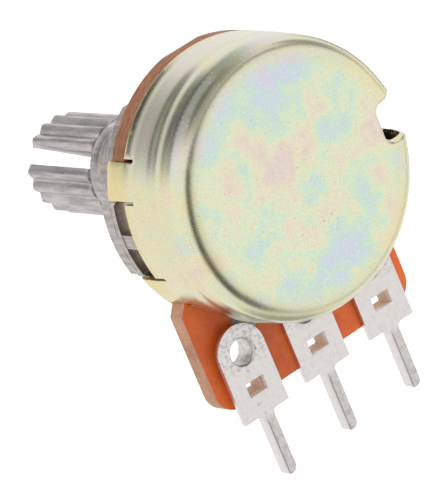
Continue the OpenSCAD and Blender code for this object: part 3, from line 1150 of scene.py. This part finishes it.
    def under_arch(self, x: float, y: float) -> bool:
        """Say whether a point of the wall is cut away over the terminals.

        Args:
            x: Its place along X.
            y: Its height.

        Returns:
            Whether it is.
        """
        shoulder = self.arch_top - self.arch_r
        if y >= self.arch_top:
            return False
        if y <= shoulder:
            k = (y - self.rim) / (shoulder - self.rim)
            return abs(x) < self.arch_w - self.arch_slope * max(k, 0.0)
        centre = self.arch_w - self.arch_slope - self.arch_r
        return abs(x) < centre or math.hypot(abs(x) - centre, y - shoulder) < self.arch_r

    def outlines(self) -> list[list[Pair]]:
        """Give the lines that the flat pattern is cut along.

        Returns:
            The lines, as points in the plane, with the outline of the notch third from the end.
        """
        lines = [[(self.at.wall, math.radians(a)) for a in np.arange(0, 361, self.rim_step)]]
        for middle in self.tab_angles:
            lines += self.tab_lines(math.radians(middle))
        spread = math.asin(self.notch_half / self.back_r)
        foot = [(self.flap_start, math.pi + spread * k) for k in np.linspace(-1, 1, 9)]
        lines += [self.arch_line(), self.notch_line(), self.flap_line(), foot]
        return [[(s * math.cos(a), s * math.sin(a)) for s, a in line] for line in lines]

    def tab_lines(self, middle: float) -> list[list[Pair]]:
        """Give the outline of one tab and of the slits beside it.

        Args:
            middle: The angle of its middle.

        Returns:
            The lines, as (distance, angle) points.
        """
        rim, end, half = self.at.wall, self.at.tab, self.tab_half / self.rim_r
        deep = rim - self.slit_l
        lines = [[(rim, middle - half),
                  *((s, middle - half) for s in np.linspace(rim, end, 14)[1:]),
                  *((end, middle + half * k) for k in np.linspace(-1, 1, 8)[1:-1]),
                  *((s, middle + half) for s in np.linspace(end, rim, 14))]]
        for side in (-1, 1):
            near, far = (middle + side * (self.tab_half + w) / self.rim_r for w in (0, self.slit))
            lines += [[(rim, near), (deep, near)], [(rim, far), (deep, far)]]
            lines.append([(deep + self.slit_end_r * math.cos(a),
                           (near + far) / 2 + self.slit_end_r * math.sin(a) / self.rim_r)
                          for a in np.linspace(0, 2 * math.pi, 17)])
        return lines

    def arch_line(self) -> list[Pair]:
        """Give the outline of the arch over the terminals.

        Returns:
            The line, as (distance, angle) points.
        """
        shoulder, inner = self.arch_top - self.arch_r, self.arch_w - self.arch_slope
        half = [(self.arch_w, self.rim)]
        half += [(self.arch_w - self.arch_slope * k, self.rim + (shoulder - self.rim) * k)
                 for k in np.linspace(0, 1, 6)[1:]]
        half += [(inner - self.arch_r + self.arch_r * math.cos(a), shoulder + self.arch_r * math.sin(a))
                 for a in np.linspace(0, math.pi / 2, 9)[1:]]
        half += [(x, self.arch_top) for x in np.linspace(inner - self.arch_r, 0, 14)[1:]]
        both = [(x, self.along(y)) for x, y in half + [(-x, y) for x, y in reversed(half[:-1])]]
        return [(s, -math.acos(x / self.profile(s)[0])) for x, s in both]

    def side_line(self, half: float, start: float, end: float, count: int) -> list[Pair]:
        """Give a line at a constant height beside the level line, on the side of the notch.

        Args:
            half: Its height above the level line.
            start: Distance along the sheet where it starts.
            end: Distance where it ends.
            count: Number of points.

        Returns:
            The line, as (distance, angle) points above the level line.
        """
        return [(s, math.pi - math.asin(half / self.profile(s)[0])) for s in np.linspace(start, end, count)]

    def notch_line(self) -> list[Pair]:
        """Give the outline of the notch, from its foot on one side round to the other.

        Returns:
            The line, as (distance, angle) points.
        """
        corner = (-self.notch_x - self.notch_r, self.notch_half - self.notch_r)
        round_off = [(corner[0] + self.notch_r * math.cos(a), corner[1] + self.notch_r * math.sin(a))
                     for a in np.linspace(0, math.pi / 2, 9)]
        inner = [(-self.notch_x, z) for z in np.linspace(0, corner[1], 7)[:-1]] + round_off
        half = [(math.hypot(x, z), math.atan2(z, x)) for x, z in inner]
        half += self.side_line(self.notch_half, half[-1][0], self.flap_start, 44)[1:]
        return [(s, 2 * math.pi - a) for s, a in reversed(half[1:])] + half

    def flap_line(self) -> list[Pair]:
        """Give the outline of the stop flap, from its foot on one side round to the other.

        Returns:
            The line, as (distance, angle) points.
        """
        side = self.side_line(self.flap_half, self.flap_start, self.flap_end, 12)
        end = [(self.flap_end, math.pi - a) for a in np.linspace(math.pi - side[-1][1], 0, 5)[1:]]
        half = side + end
        return half + [(s, 2 * math.pi - a) for s, a in reversed(half[:-1])]

    def fold_up(self, u: float, v: float, zone: Zone, edge: float) -> Triple:
        """Fold a point of the flat pattern.

        Args:
            u: Its place along X.
            v: Its place along Z.
            zone: What it belongs to.
            edge: Its distance from the outline of the notch.

        Returns:
            Its place on the outside of the can.
        """
        s, angle = math.hypot(u, v), math.atan2(v, u)
        radius, y, tilt = self.profile(s)
        if zone is Zone.FLAP:
            d = self.flap_start - s
            side = radius * math.sin(angle)
            a = min(d / self.flap_fold, math.pi / 2)
            inward = self.flap_fold * (1 - math.cos(a)) + max(0.0, d - self.flap_bend)
            curve = (self.back_r - math.sqrt(self.back_r ** 2 - side ** 2)) * math.cos(a)
            return inward + curve - self.back_r, self.flap_y - self.flap_fold * (1 - math.sin(a)), side
        if s > self.at.wall:
            offset = self.tab_offset(angle)
            middle = angle - offset
            out = radius - self.rim_r * (1 - math.cos(offset))
            side = self.rim_r * math.sin(offset)
            return (out * math.cos(middle) - side * math.sin(middle), y,
                    out * math.sin(middle) + side * math.cos(middle))
        sink = self.roll_depth(edge, s) + self.unevenness(u, v, y)
        radius = self.off_centre(radius, angle) - sink * math.sin(tilt)
        raised = self.flared(s, edge) if v > 0 else 0.0
        return radius * math.cos(angle), y - sink * math.cos(tilt), radius * math.sin(angle) + raised

    def off_centre(self, radius: float, angle: float) -> float:
        """Move a radius of the back so that its flat face lies off centre inside the can.

        Args:
            radius: The radius on the plain shape.
            angle: The angle about the axis.

        Returns:
            The moved radius.
        """
        if radius >= self.back_r:
            return radius
        x, z = self.face_middle
        across = x * math.sin(angle) - z * math.cos(angle)
        face = x * math.cos(angle) + z * math.sin(angle) + math.sqrt(self.face_r ** 2 - across ** 2)
        if radius <= self.at.flat:
            return radius * face / self.at.flat
        return face + (radius - self.at.flat) * (self.back_r - face) / (self.back_r - self.at.flat)

    def flared(self, s: float, edge: float) -> float:
        """Give how far the can's corner is flared above the notch.

        Args:
            s: Distance along the sheet.
            edge: Distance from the outline of the notch.

        Returns:
            The height that it is raised by.
        """
        middle = (self.at.flat + self.at.corner) / 2
        return self.flare * math.exp(-((s - middle) / self.flare_l) ** 2 - (edge / self.flare_l) ** 2)

    def roll_depth(self, edge: float, s: float) -> float:
        """Give how far the sheet is rolled down beside the notch.

        Args:
            edge: Distance from the outline of the notch.
            s: Distance along the sheet.

        Returns:
            The depth below the plain shape.
        """
        down = np.interp(s, [self.at.brow, self.at.corner, self.flap_start], [1.0, 0.6, 0.0])
        reach = self.notch_roll * float(down)
        if edge >= reach:
            return 0.0
        return reach - math.sqrt(reach ** 2 - (reach - edge) ** 2)

    def unevenness(self, u: float, v: float, y: float) -> float:
        """Give the depth of the hollow of the back or of the marks that the drawing left on the wall.

        Args:
            u: Place along X in the flat pattern.
            v: Place along Z in the flat pattern.
            y: Height of the point.

        Returns:
            The depth below the plain shape.
        """
        for (low, before), (high, after) in zip(self.draw_marks, self.draw_marks[1:]):
            if low <= y < high:
                share = (1 - math.cos(math.pi * (y - low) / (high - low))) / 2
                strength = 1 + self.mark_sway * math.sin(2 * math.atan2(v, u) + 1)
                return (before + (after - before) * share) * strength
        if y < self.back - self.tolerance:
            return 0.0
        x, z = self.hollow_middle
        return self.hollow * math.exp(-((u - x) ** 2 + (v - z) ** 2) / self.hollow_spread)

    def mesh(self) -> bpy.types.Object:
        """Cut and mesh the flat pattern and fold it up.

        Returns:
            The can's outside, as a sheet without thickness.
        """
        lines = self.outlines()
        points: list[Pair] = []
        edges: list[tuple[int, int]] = []
        for line in lines:
            first = len(points)
            points += line
            edges += [(first + i, first + i + 1) for i in range(len(line) - 1)]
        cuts = Segments([points[a] + points[b] for a, b in edges])
        notch = Segments([a + b for a, b in zip(lines[-3], lines[-3][1:])])
        reach = self.fine_reach * self.notch_roll
        points += [p for p in self.inner_points()
                   if cuts.distance(p) > self.cut_gap and notch.distance(p) > reach]
        points += [p for p in self.notch_points()
                   if cuts.distance(p) > self.fine_gap * self.fine_cell and notch.distance(p) <= reach]
        flat_points, _, triangles, *_ = delaunay_2d_cdt(
            [Vector(p) for p in points], edges, [], 0, self.point_gap)
        folded: list[Triple] = []
        index: dict[tuple[int, bool], int] = {}
        faces = []
        for triangle in triangles:
            centre = sum((flat_points[i] for i in triangle), Vector((0, 0))) / 3
            zone = self.zone(centre.x, centre.y)
            if zone is Zone.CUT:
                continue
            face = []
            for i in triangle:
                p = flat_points[i]
                key = (i, zone is Zone.FLAP and p.length < self.flap_start - self.fold_gap)
                if key not in index:
                    index[key] = len(folded)
                    kind = Zone.FLAP if key[1] else Zone.SHELL
                    folded.append(self.fold_up(p.x, p.y, kind, notch.distance((p.x, p.y))))
                face.append(index[key])
            faces.append(face[::-1])
        made = new_object("can_shell", folded, faces)

        def clean(mesh: bmesh.types.BMesh) -> None:
            """Merge doubles and take out faces without area.

            Args:
                mesh: The folded mesh.
            """
            bmesh.ops.remove_doubles(mesh, verts=mesh.verts, dist=self.merge * MM)
            bmesh.ops.dissolve_degenerate(mesh, dist=self.merge * MM, edges=mesh.edges)

        return edit(made, clean)

    def inner_points(self) -> list[Pair]:
        """Give the points inside the outlines.

        Returns:
            The points, on rings round the middle and in rows on the tabs.
        """
        at = self.at
        rings = [*np.arange(self.cell, at.flat - 0.1, self.cell), *np.linspace(at.flat, at.brow, 4),
                 *np.linspace(at.brow, at.corner, 9)[1:], *np.linspace(at.corner, at.wall, 25)[1:-1]]
        inner: list[Pair] = [(0.0, 0.0)]
        fewest, most = self.ring_points
        for ring in rings:
            count = int(min(most, max(fewest, round(2 * math.pi * ring / self.cell))))
            inner += [(ring * math.cos(2 * math.pi * k / count), ring * math.sin(2 * math.pi * k / count))
                      for k in range(count)]
        rows = [*np.linspace(at.wall, at.bend, 5)[1:], *np.linspace(at.bend, at.tip, 7)[1:],
                *np.linspace(at.tip, at.tab, 6)[1:-1]]
        for middle in self.tab_angles:
            angles = [math.radians(middle) + k * self.tab_half / self.rim_r
                      for k in np.linspace(-1, 1, 8)[1:-1]]
            inner += [(row * math.cos(a), row * math.sin(a)) for row in rows for a in angles]
        return inner

    def notch_points(self) -> list[Pair]:
        """Give a finer grid of points round the notch.

        Returns:
            The points.
        """
        before, after = self.fine_margin
        columns = np.arange(-self.flap_start - before, -self.notch_x + after, self.fine_cell)
        rows = np.arange(-self.fine_half, self.fine_half, self.fine_cell)
        return [(float(u) + (i % 2) * self.fine_cell / 2, float(v))
                for i, v in enumerate(rows) for u in columns]

    def build(self, finish: Chromate) -> bpy.types.Object:
        """Make the can and dress it.

        Args:
            finish: The finish of the sheet.

        Returns:
            The finished piece.
        """
        made = self.mesh()
        wall = made.modifiers.new("sheet", "SOLIDIFY")
        wall.thickness, wall.offset, wall.use_even_offset = self.sheet * MM, -1.0, True
        bake(made)
        soften(made, self.rounding, self.rounding_angle)
        dress(made, [finish.material()])
        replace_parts(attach(made, "housing"), "can")
        return made


# The front casting, its thread and the shaft.


@dataclass
class Casting:
    """The die-cast plate with its threaded bush."""

    crest_r: float = 3.5
    thread_depth: float = 0.4
    thread_pitch: float = 0.75
    front: float = -6.7
    pilot_r: float = 3.12
    pilot_l: float = 0.5
    bore_r: float = 2.53
    chamfer: float = 0.12
    thread_end: float = -0.75
    thread_rows: int = 12
    thread_flank: float = 1.25
    thread_floor: float = 1.1
    thread_sharp: float = 40.0
    run_out: float = 0.4
    lead_in: float = 0.1
    root_gap: float = 0.05
    root_soft: float = 0.02
    rounding: float = 0.1
    overlap: float = 0.001
    around: int = 144

    def bush(self, material: bpy.types.Material) -> bpy.types.Object:
        """Turn the bush and cut its thread with Geometry Nodes.

        Args:
            material: The finish.

        Returns:
            The bush, closed at its root.
        """
        top = self.front + self.pilot_l + self.crest_r - self.pilot_r
        step = self.thread_pitch / self.thread_rows
        rows = [(self.crest_r, float(y)) for y in np.arange(-self.overlap, top, -step)]
        profile = [*rows, (self.crest_r, top), (self.pilot_r, self.front + self.pilot_l),
                   (self.pilot_r, self.front + self.chamfer), (self.pilot_r - self.chamfer, self.front),
                   (self.bore_r + self.chamfer, self.front), (self.bore_r, self.front + self.chamfer),
                   (self.bore_r, -self.overlap)]
        made = lathe("bush", profile, self.around, True)
        sizes = {"Pitch": self.thread_pitch, "Depth": self.thread_depth, "Start": top, "End": self.thread_end,
                 "Root": self.crest_r - self.root_gap}
        tree = Tree("thread", sizes)
        phase = (tree.turn() + tree.y / tree.size("Pitch")).fract()
        groove = (self.thread_floor - abs(phase * 2 - 1) * self.thread_flank).high(0).low(1)
        share = tree.radius().rise(tree.size("Root"), self.root_soft)
        share = share * (tree.size("End") - tree.y).rise(0, self.run_out)
        share = share * (tree.y - tree.size("Start")).rise(0, self.lead_in)
        made = tree.run(made, tree.sink(groove * tree.size("Depth") * share), material)
        made.data.shade_smooth()
        made.data.set_sharp_from_angle(angle=math.radians(self.thread_sharp))
        return made

    def plate(self) -> bpy.types.Object:
        """Take the plate from the CAD model, close it where the bush leaves it and round its edges."""
        made = cad_copy("mounting_plate", "plate_casting")
        return soften(keep_behind(made, -self.overlap, bmesh.ops.bridge_loops), self.rounding)

    def build(self, finish: CastZinc) -> bpy.types.Object:
        """Make the casting and dress it.

        Args:
            finish: The finish of the casting.

        Returns:
            The finished piece.
        """
        material = finish.material()
        made = join("plate_casting", [self.plate(), self.bush(material)])
        dress(made, [material])
        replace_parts(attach(made, "housing"), "mounting_plate")
        return made


@dataclass
class Shaft:
    """The knurled and split shaft."""

    radius: float = 3.0
    tip: float = -15.0
    knurl_end: float = -8.0
    teeth: int = 18
    depth: float = 0.32
    chamfer: float = 0.45
    shoulder: float = -6.8
    journal_r: float = 2.5
    groove_r: float = 2.05
    ring: Pair = (2.05, 2.55)
    journal_end: float = 4.5
    slot_w: float = 1.0
    slot_l: float = 7.1
    turn: float = 36.0
    rounding: float = 0.03
    head_rounding: float = 0.035
    head_angle: float = 35.0
    relief: float = 0.1
    edge: float = 0.06
    row_gap: float = 0.02
    tooth_power: float = 1.6
    knurl_start: Pair = (0.01, 0.02)
    knurl_in: Pair = (0.05, 0.4)
    drive_gap: float = 0.01
    saw_over: float = 1.0
    around: int = 216

    def blank(self) -> bpy.types.Object:
        """Turn the shaft's front part.

        Returns:
            The blank, without its knurl and its saw cut.
        """
        r, tip, end = self.radius, self.tip, self.knurl_end
        rows = [(r, float(y)) for y in np.linspace(end - self.row_gap, tip + self.chamfer, 25)]
        near, far = self.ring
        profile = [(0.0, self.journal_end), (self.journal_r - self.relief, self.journal_end),
                   (self.journal_r, self.journal_end - self.relief), (self.journal_r, far),
                   (self.groove_r, far), (self.groove_r, near), (self.journal_r, near),
                   (self.journal_r, self.shoulder), (r - self.edge, self.shoulder),
                   (r, self.shoulder - self.edge), (r, end + self.depth), (r - self.depth, end), *rows,
                   (r - self.chamfer, tip), (0.0, tip)]
        return lathe("shaft_head", profile, self.around, False)

    def knurl(self, made: bpy.types.Object, material: bpy.types.Material) -> bpy.types.Object:
        """Press the grooves of the knurl in with Geometry Nodes.

        Args:
            made: The turned blank.
            material: The finish.

        Returns:
            The knurled blank.
        """
        sizes = {"Teeth": float(self.teeth), "Depth": self.depth, "End": self.knurl_end,
                 "Turn": self.turn / 360}
        tree = Tree("knurl", sizes)
        phase = ((tree.turn() - tree.size("Turn")) * tree.size("Teeth")).fract()
        wave = (1 - abs(phase * 2 - 1)) ** self.tooth_power
        share = (tree.size("End") - tree.y).rise(*self.knurl_start)
        below, width = self.knurl_in
        share = share * tree.radius().rise(self.radius - self.chamfer - below, width)
        return tree.run(made, tree.sink(wave * tree.size("Depth") * share), material)

    def build(self, finish: CastZinc) -> bpy.types.Object:
        """Make the shaft and dress it.

        Args:
            finish: Its finish.

        Returns:
            The finished piece.
        """
        material = finish.material()
        made = self.knurl(self.blank(), material)
        far = 2 * self.radius
        corners = [(x, y, z) for x in (-far, far) for y in (self.tip - self.saw_over, self.tip + self.slot_l)
                   for z in (-self.slot_w / 2, self.slot_w / 2)]
        sides = [[0, 1, 3, 2], [4, 6, 7, 5], [0, 4, 5, 1], [2, 3, 7, 6], [0, 2, 6, 4], [1, 5, 7, 3]]
        saw = new_object("saw", corners, sides)
        saw.data.transform(Matrix.Rotation(math.radians(-self.turn), 4, "Y"))
        cut = made.modifiers.new("saw cut", "BOOLEAN")
        cut.object, cut.operation, cut.solver = saw, "DIFFERENCE", "EXACT"
        bake(made)
        bpy.data.objects.remove(saw)
        drive = self.drive()
        made = join("shaft_head", [soften(made, self.head_rounding, self.head_angle), drive])
        dress(made, [material])
        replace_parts(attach(made, "spindle"), "shaft")
        return made

    def drive(self) -> bpy.types.Object:
        """Take the flats and the staked end behind the journal from the CAD model.

        Returns:
            The shaft's back part, closed where it was cut.
        """
        made = cad_copy("shaft", "shaft_drive")
        made = keep_behind(made, self.journal_end + self.drive_gap, bmesh.ops.holes_fill)
        return soften(made, self.rounding)


# Wafer and terminals.


@dataclass
class Wafer:
    """The laminate disc with the lobe for the terminals."""

    rounding: float = 0.07
    round_r: float = 8.1
    grown_r: float = 8.21
    same_r: float = 0.02
    face_least: float = 0.96

    def build(self, face: Laminate, edge: Laminate) -> bpy.types.Object:
        """Make the wafer, with the punched edge in its own finish.

        Args:
            face: The finish of the faces.
            edge: The finish of the punched edge.

        Returns:
            The finished piece.
        """
        made = cad_copy("wafer", "laminate_wafer")
        for vertex in made.data.vertices:
            radius = math.hypot(vertex.co.x, vertex.co.z) / MM
            if vertex.co.z > 0 and abs(radius - self.round_r) < self.same_r:
                vertex.co.x *= self.grown_r / self.round_r
                vertex.co.z *= self.grown_r / self.round_r
        soften(made, self.rounding)
        dress(made, [face.material(), edge.material()])
        for polygon in made.data.polygons:
            polygon.material_index = 0 if abs(polygon.normal.y) > self.face_least else 1
        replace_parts(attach(made, "housing"), "wafer")
        return made


@dataclass
class Terminals:
    """The three stamped terminals with their rivet barrels."""

    pitch: float = 5.0
    lift: float = 0.35
    count: int = 3
    rounding: float = 0.06

    def build(self, finish: Tin) -> bpy.types.Object:
        """Repeat one terminal along the row with Geometry Nodes.

        Args:
            finish: The finish of the terminals.

        Returns:
            The finished piece, all three terminals in one mesh.
        """
        material = finish.material()
        one = soften(cad_copy("terminal_2", "terminal"), self.rounding)
        row = new_object("terminals", [(0, 0, 0)], [])
        tree = Tree("terminal_row", {"Pitch": self.pitch, "Lift": self.lift, "Count": float(self.count)})
        line = tree.node("GeometryNodeMeshLine", {"mode": "OFFSET"}, {
            "Count": tree.size("Count"),
            "Start Location": tree.node("ShaderNodeCombineXYZ", {}, {"X": tree.size("Pitch") * -MM}),
            "Offset": tree.node("ShaderNodeCombineXYZ", {}, {"X": tree.size("Pitch") * MM}),
        })
        number = tree.node("GeometryNodeInputIndex")
        last = number.rise(tree.size("Count") - 2, 1.0)
        lifted = tree.node("GeometryNodeSetPosition", {}, {
            "Geometry": line,
            "Offset": tree.node("ShaderNodeCombineXYZ", {}, {"Y": last * tree.size("Lift") * MM}),
        })
        shape = tree.node("GeometryNodeObjectInfo", {}, {"Object": one}, "Geometry")
        placed = tree.node("GeometryNodeInstanceOnPoints", {}, {"Points": lifted, "Instance": shape})
        made = tree.run(row, placed, material)
        bpy.data.objects.remove(one)
        dress(made, [material])
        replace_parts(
            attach(made, "housing"), "terminal_1", "terminal_2", "terminal_3")
        return made


# The pieces that keep their CAD shape.


@dataclass
class Works:
    """The printed layers, rotor, spring and ring inside, in their CAD shapes."""

    finishes: tuple[tuple[Plain, tuple[str, ...]], ...] = (
        (Plain("carbon_ink", srgb(40, 40, 42), srgb(26, 26, 28), 0.0, 0.55), ("carbon_track",)),
        (Plain("silver_ink", srgb(196, 194, 188), srgb(150, 148, 142), 0.6, 0.5),
         ("end_pad_1", "end_pad_3", "collector_ring")),
        (Plain("moulded_plastic", srgb(44, 44, 46), srgb(30, 30, 32), 0.0, 0.48, 5.0, 0.01), ("rotor",)),
        (Plain("spring_steel", srgb(120, 118, 116), srgb(84, 82, 80), 1.0, 0.34), ("retaining_ring",)),
        (Plain("bronze_spring", srgb(196, 150, 96), srgb(150, 108, 66), 1.0, 0.3), ("wiper_spring",)),
    )

    def build(self) -> list[bpy.types.Object]:
        """Dress the CAD nodes.

        Returns:
            The dressed nodes.
        """
        dressed = []
        for finish, nodes in self.finishes:
            material = finish.material()
            for name in nodes:
                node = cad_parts[name]
                node.data.materials.clear()
                node.data.materials.append(material)
                dressed.append(node)
        return dressed


# Camera, light and floor.


@dataclass(frozen=True)
class Flag:
    """A dark place of the room that polished metal shows: a disc or a ring, or the part of it on one side.

    Angles are in degrees, and the light is the share that is left in the dark place.
    """

    towards: Triple
    radius: float
    soft: float
    light: float
    hole: float = 0.0
    beside: Triple | None = None
    reach: float = 40.0
    reach_soft: float = 18.0

    @staticmethod
    def disc(g: Graph, towards: Sock, middle: Triple, radius: float, soft: float) -> Sock:
        """Give 1 inside a disc of the sky and 0 outside.

        Args:
            g: The world's tree.
            towards: The direction.
            middle: Direction of the disc's middle.
            radius: Its radius, in degrees.
            soft: Width of its soft edge, in degrees.

        Returns:
            The share.
        """
        near = g.node("ShaderNodeVectorMath", {"operation": "DOT_PRODUCT"},
                      {0: towards, 1: tuple(Vector(middle).normalized())}, "Value")
        return near.step(math.cos(math.radians(radius + soft)), math.cos(math.radians(radius)))

    def share(self, g: Graph, towards: Sock) -> Sock:
        """Give how much light this place leaves.

        Args:
            g: The world's tree.
            towards: The direction.

        Returns:
            The share of the light.
        """
        dark = self.disc(g, towards, self.towards, self.radius, self.soft)
        if self.hole:
            dark = dark * (1 - self.disc(g, towards, self.towards, self.hole - self.soft, self.soft))
        if self.beside:
            dark = dark * self.disc(g, towards, self.beside, self.reach, self.reach_soft)
        return 1 - dark * (1 - self.light)


@dataclass
class Studio:
    """The camera of the photograph, the lights and a pale floor."""

    eye: Triple = (139.66, 243.38, 86.59)
    right: Triple = (-0.74129, 0.56062, -0.36905)
    up: Triple = (-0.47831, -0.05551, 0.87643)
    back: Triple = (0.47086, 0.82621, 0.30930)
    focal_px: float = 5141.2
    width_px: float = 447.0
    sensor: float = 36.0
    clip: Pair = (0.01, 20.0)
    floor_z: float = -45.0
    floor_half: float = 900.0
    floor_colour: Colour = (0.8, 0.8, 0.8)
    floor_glow: float = 0.5
    sky: float = 0.6
    lamps: tuple[tuple[str, Triple, float, float], ...] = (
        ("key", (-180.0, 260.0, 300.0), 220.0, 0.85), ("fill", (320.0, 120.0, 120.0), 260.0, 0.3))
    flags: tuple[Flag, ...] = (
        Flag((0.0, -1.0, 0.0), 51, 7, 0.04, 40, (0.30, -0.6, 0.74), 20),
        Flag((0.25, -0.78, 0.58), 10, 12, 0.7),
        Flag((-0.471, 0.826, -0.309), 40, 5, 0.25, 37, (-0.1, 0.7, 0.7), 60),
        Flag((-0.471, 0.826, -0.309), 49, 7, 0.05, 33, (0.35, 0.85, -0.38), 28),
        Flag((-0.471, 0.826, -0.309), 40, 5, 0.6, 36),
        Flag((0.14, 0.50, 0.85), 8, 16, 0.4),
        Flag((-0.87, 0.31, 0.38), 8, 12, 0.3),
        Flag((-0.85, -0.52, -0.09), 8, 14, 0.35),
        Flag((0.0, 0.0, -1.0), 10, 16, 0.4),
    )

    def camera(self) -> bpy.types.Object:
        """Make the camera.

        Returns:
            The camera.
        """
        data = bpy.data.cameras.new("camera")
        data.sensor_fit, data.sensor_width = "HORIZONTAL", self.sensor
        data.lens = self.focal_px / self.width_px * self.sensor
        data.clip_start, data.clip_end = self.clip
        made = link("camera", data)
        turn = Matrix((self.right, self.up, self.back)).transposed().to_4x4()
        made.matrix_world = Matrix.Translation(Vector(self.eye) * MM) @ turn
        bpy.context.scene.camera = made
        return made

    def lamp(self, name: str, place: Triple, size: float, power: float) -> bpy.types.Object:
        """Hang a soft square lamp that points at the object.

        Args:
            name: Its name.
            place: Its place, in millimetres.
            size: Its side, in millimetres.
            power: Its power, in watts.

        Returns:
            The lamp.
        """
        data = bpy.data.lights.new(name, "AREA")
        data.size, data.energy = size * MM, power
        made = link(name, data)
        at = Vector(place) * MM
        made.matrix_world = Matrix.Translation(at) @ (-at).to_track_quat("-Z", "Y").to_matrix().to_4x4()
        made.visible_glossy = False
        return made

    def world(self) -> None:
        """Make a pale world: white for the camera, with dark places for gloss, and plain for the rest."""
        made = bpy.data.worlds.new("studio")
        made.use_nodes = True
        bpy.context.scene.world = made
        g = Graph(made.node_tree)
        g.tree.nodes.clear()
        camera, glossy, clear = (
            g.node("ShaderNodeLightPath", {}, {}, f"Is {ray} Ray")
            for ray in ("Camera", "Glossy", "Transmission")
        )
        towards = g.node("ShaderNodeTexCoord", {}, {}, "Generated")
        room: Any = 1.0
        for flag in self.flags:
            room = room * flag.share(g, towards)
        plain, gloss, white = (
            g.node("ShaderNodeBackground", {}, {"Color": WHITE, "Strength": strength})
            for strength in (self.sky, room, 1.0)
        )
        seen = g.node("ShaderNodeMixShader", {}, {0: glossy, 1: plain, 2: gloss})
        seen = g.node("ShaderNodeMixShader", {}, {0: camera.high(clear), 1: seen, 2: white})
        g.node("ShaderNodeOutputWorld", {}, {"Surface": seen})

    def floor(self) -> bpy.types.Object:
        """Lay a plain pale floor that the camera sees as white where no shadow falls.

        Returns:
            The floor.
        """
        half, z = self.floor_half, self.floor_z
        corners = [(-half, -half, z), (half, -half, z), (half, half, z), (-half, half, z)]
        made = new_object("floor", corners, [[0, 1, 2, 3]])
        s = Surface("floor")
        diffuse = s.node("ShaderNodeBsdfDiffuse", {}, {"Color": self.floor_colour})
        glow = s.node("ShaderNodeEmission", {}, {"Color": WHITE, "Strength": self.floor_glow})
        both = s.node("ShaderNodeAddShader", {}, {0: diffuse, 1: glow})
        camera = s.node("ShaderNodeLightPath", {}, {}, "Is Camera Ray")
        shader = s.node("ShaderNodeMixShader", {}, {0: camera, 1: diffuse, 2: both})
        s.node("ShaderNodeOutputMaterial", {}, {"Surface": shader})
        dress(made, [s.material])
        made.visible_glossy = False
        return made

    def light(self) -> None:
        """Hang the lamps and make the world."""
        self.world()
        for lamp in self.lamps:
            self.lamp(*lamp)


SHAFT_ZINC = CastZinc(
    "shaft_zinc", srgb(212, 204, 201), srgb(150, 147, 150), stretch=(2.4, 0.3, 2.4), roughness=0.26,
    seam_r=9.0)
LAMINATE_FACE = Laminate(
    "laminate_face", srgb(244, 118, 42), srgb(214, 84, 36), srgb(246, 140, 80), layers=1.0, roughness=0.34)
LAMINATE_EDGE = Laminate(
    "laminate_edge", srgb(216, 164, 132), srgb(158, 106, 78), srgb(246, 222, 200), layers=2.0, roughness=0.5,
    # The edge's painted shade along the upper part of the outer rim, and where it lies.
    top=srgb(142, 86, 50), punched=Patch(y=((0.0, 0.2),), z=((-2.0, 1.0),), r=((7.5, 7.7),)))


def main() -> None:
    """Build the scene: camera first, then each sub-assembly, then the light."""
    logging.basicConfig(level=logging.INFO, format="%(name)s: %(message)s")
    studio = Studio()
    studio.camera()
    bpy.context.scene.view_settings.view_transform = "Standard"
    pieces = [
        Can().build(Chromate()),
        Casting().build(CastZinc()),
        Shaft().build(SHAFT_ZINC),
        Wafer().build(LAMINATE_FACE, LAMINATE_EDGE),
        Terminals().build(Tin()),
        *Works().build(),
    ]
    for piece in pieces:
        LOG.info("%s: %d faces", piece.name, len(piece.data.polygons))
    studio.floor()
    studio.light()


if __name__ == "__main__":
    main()
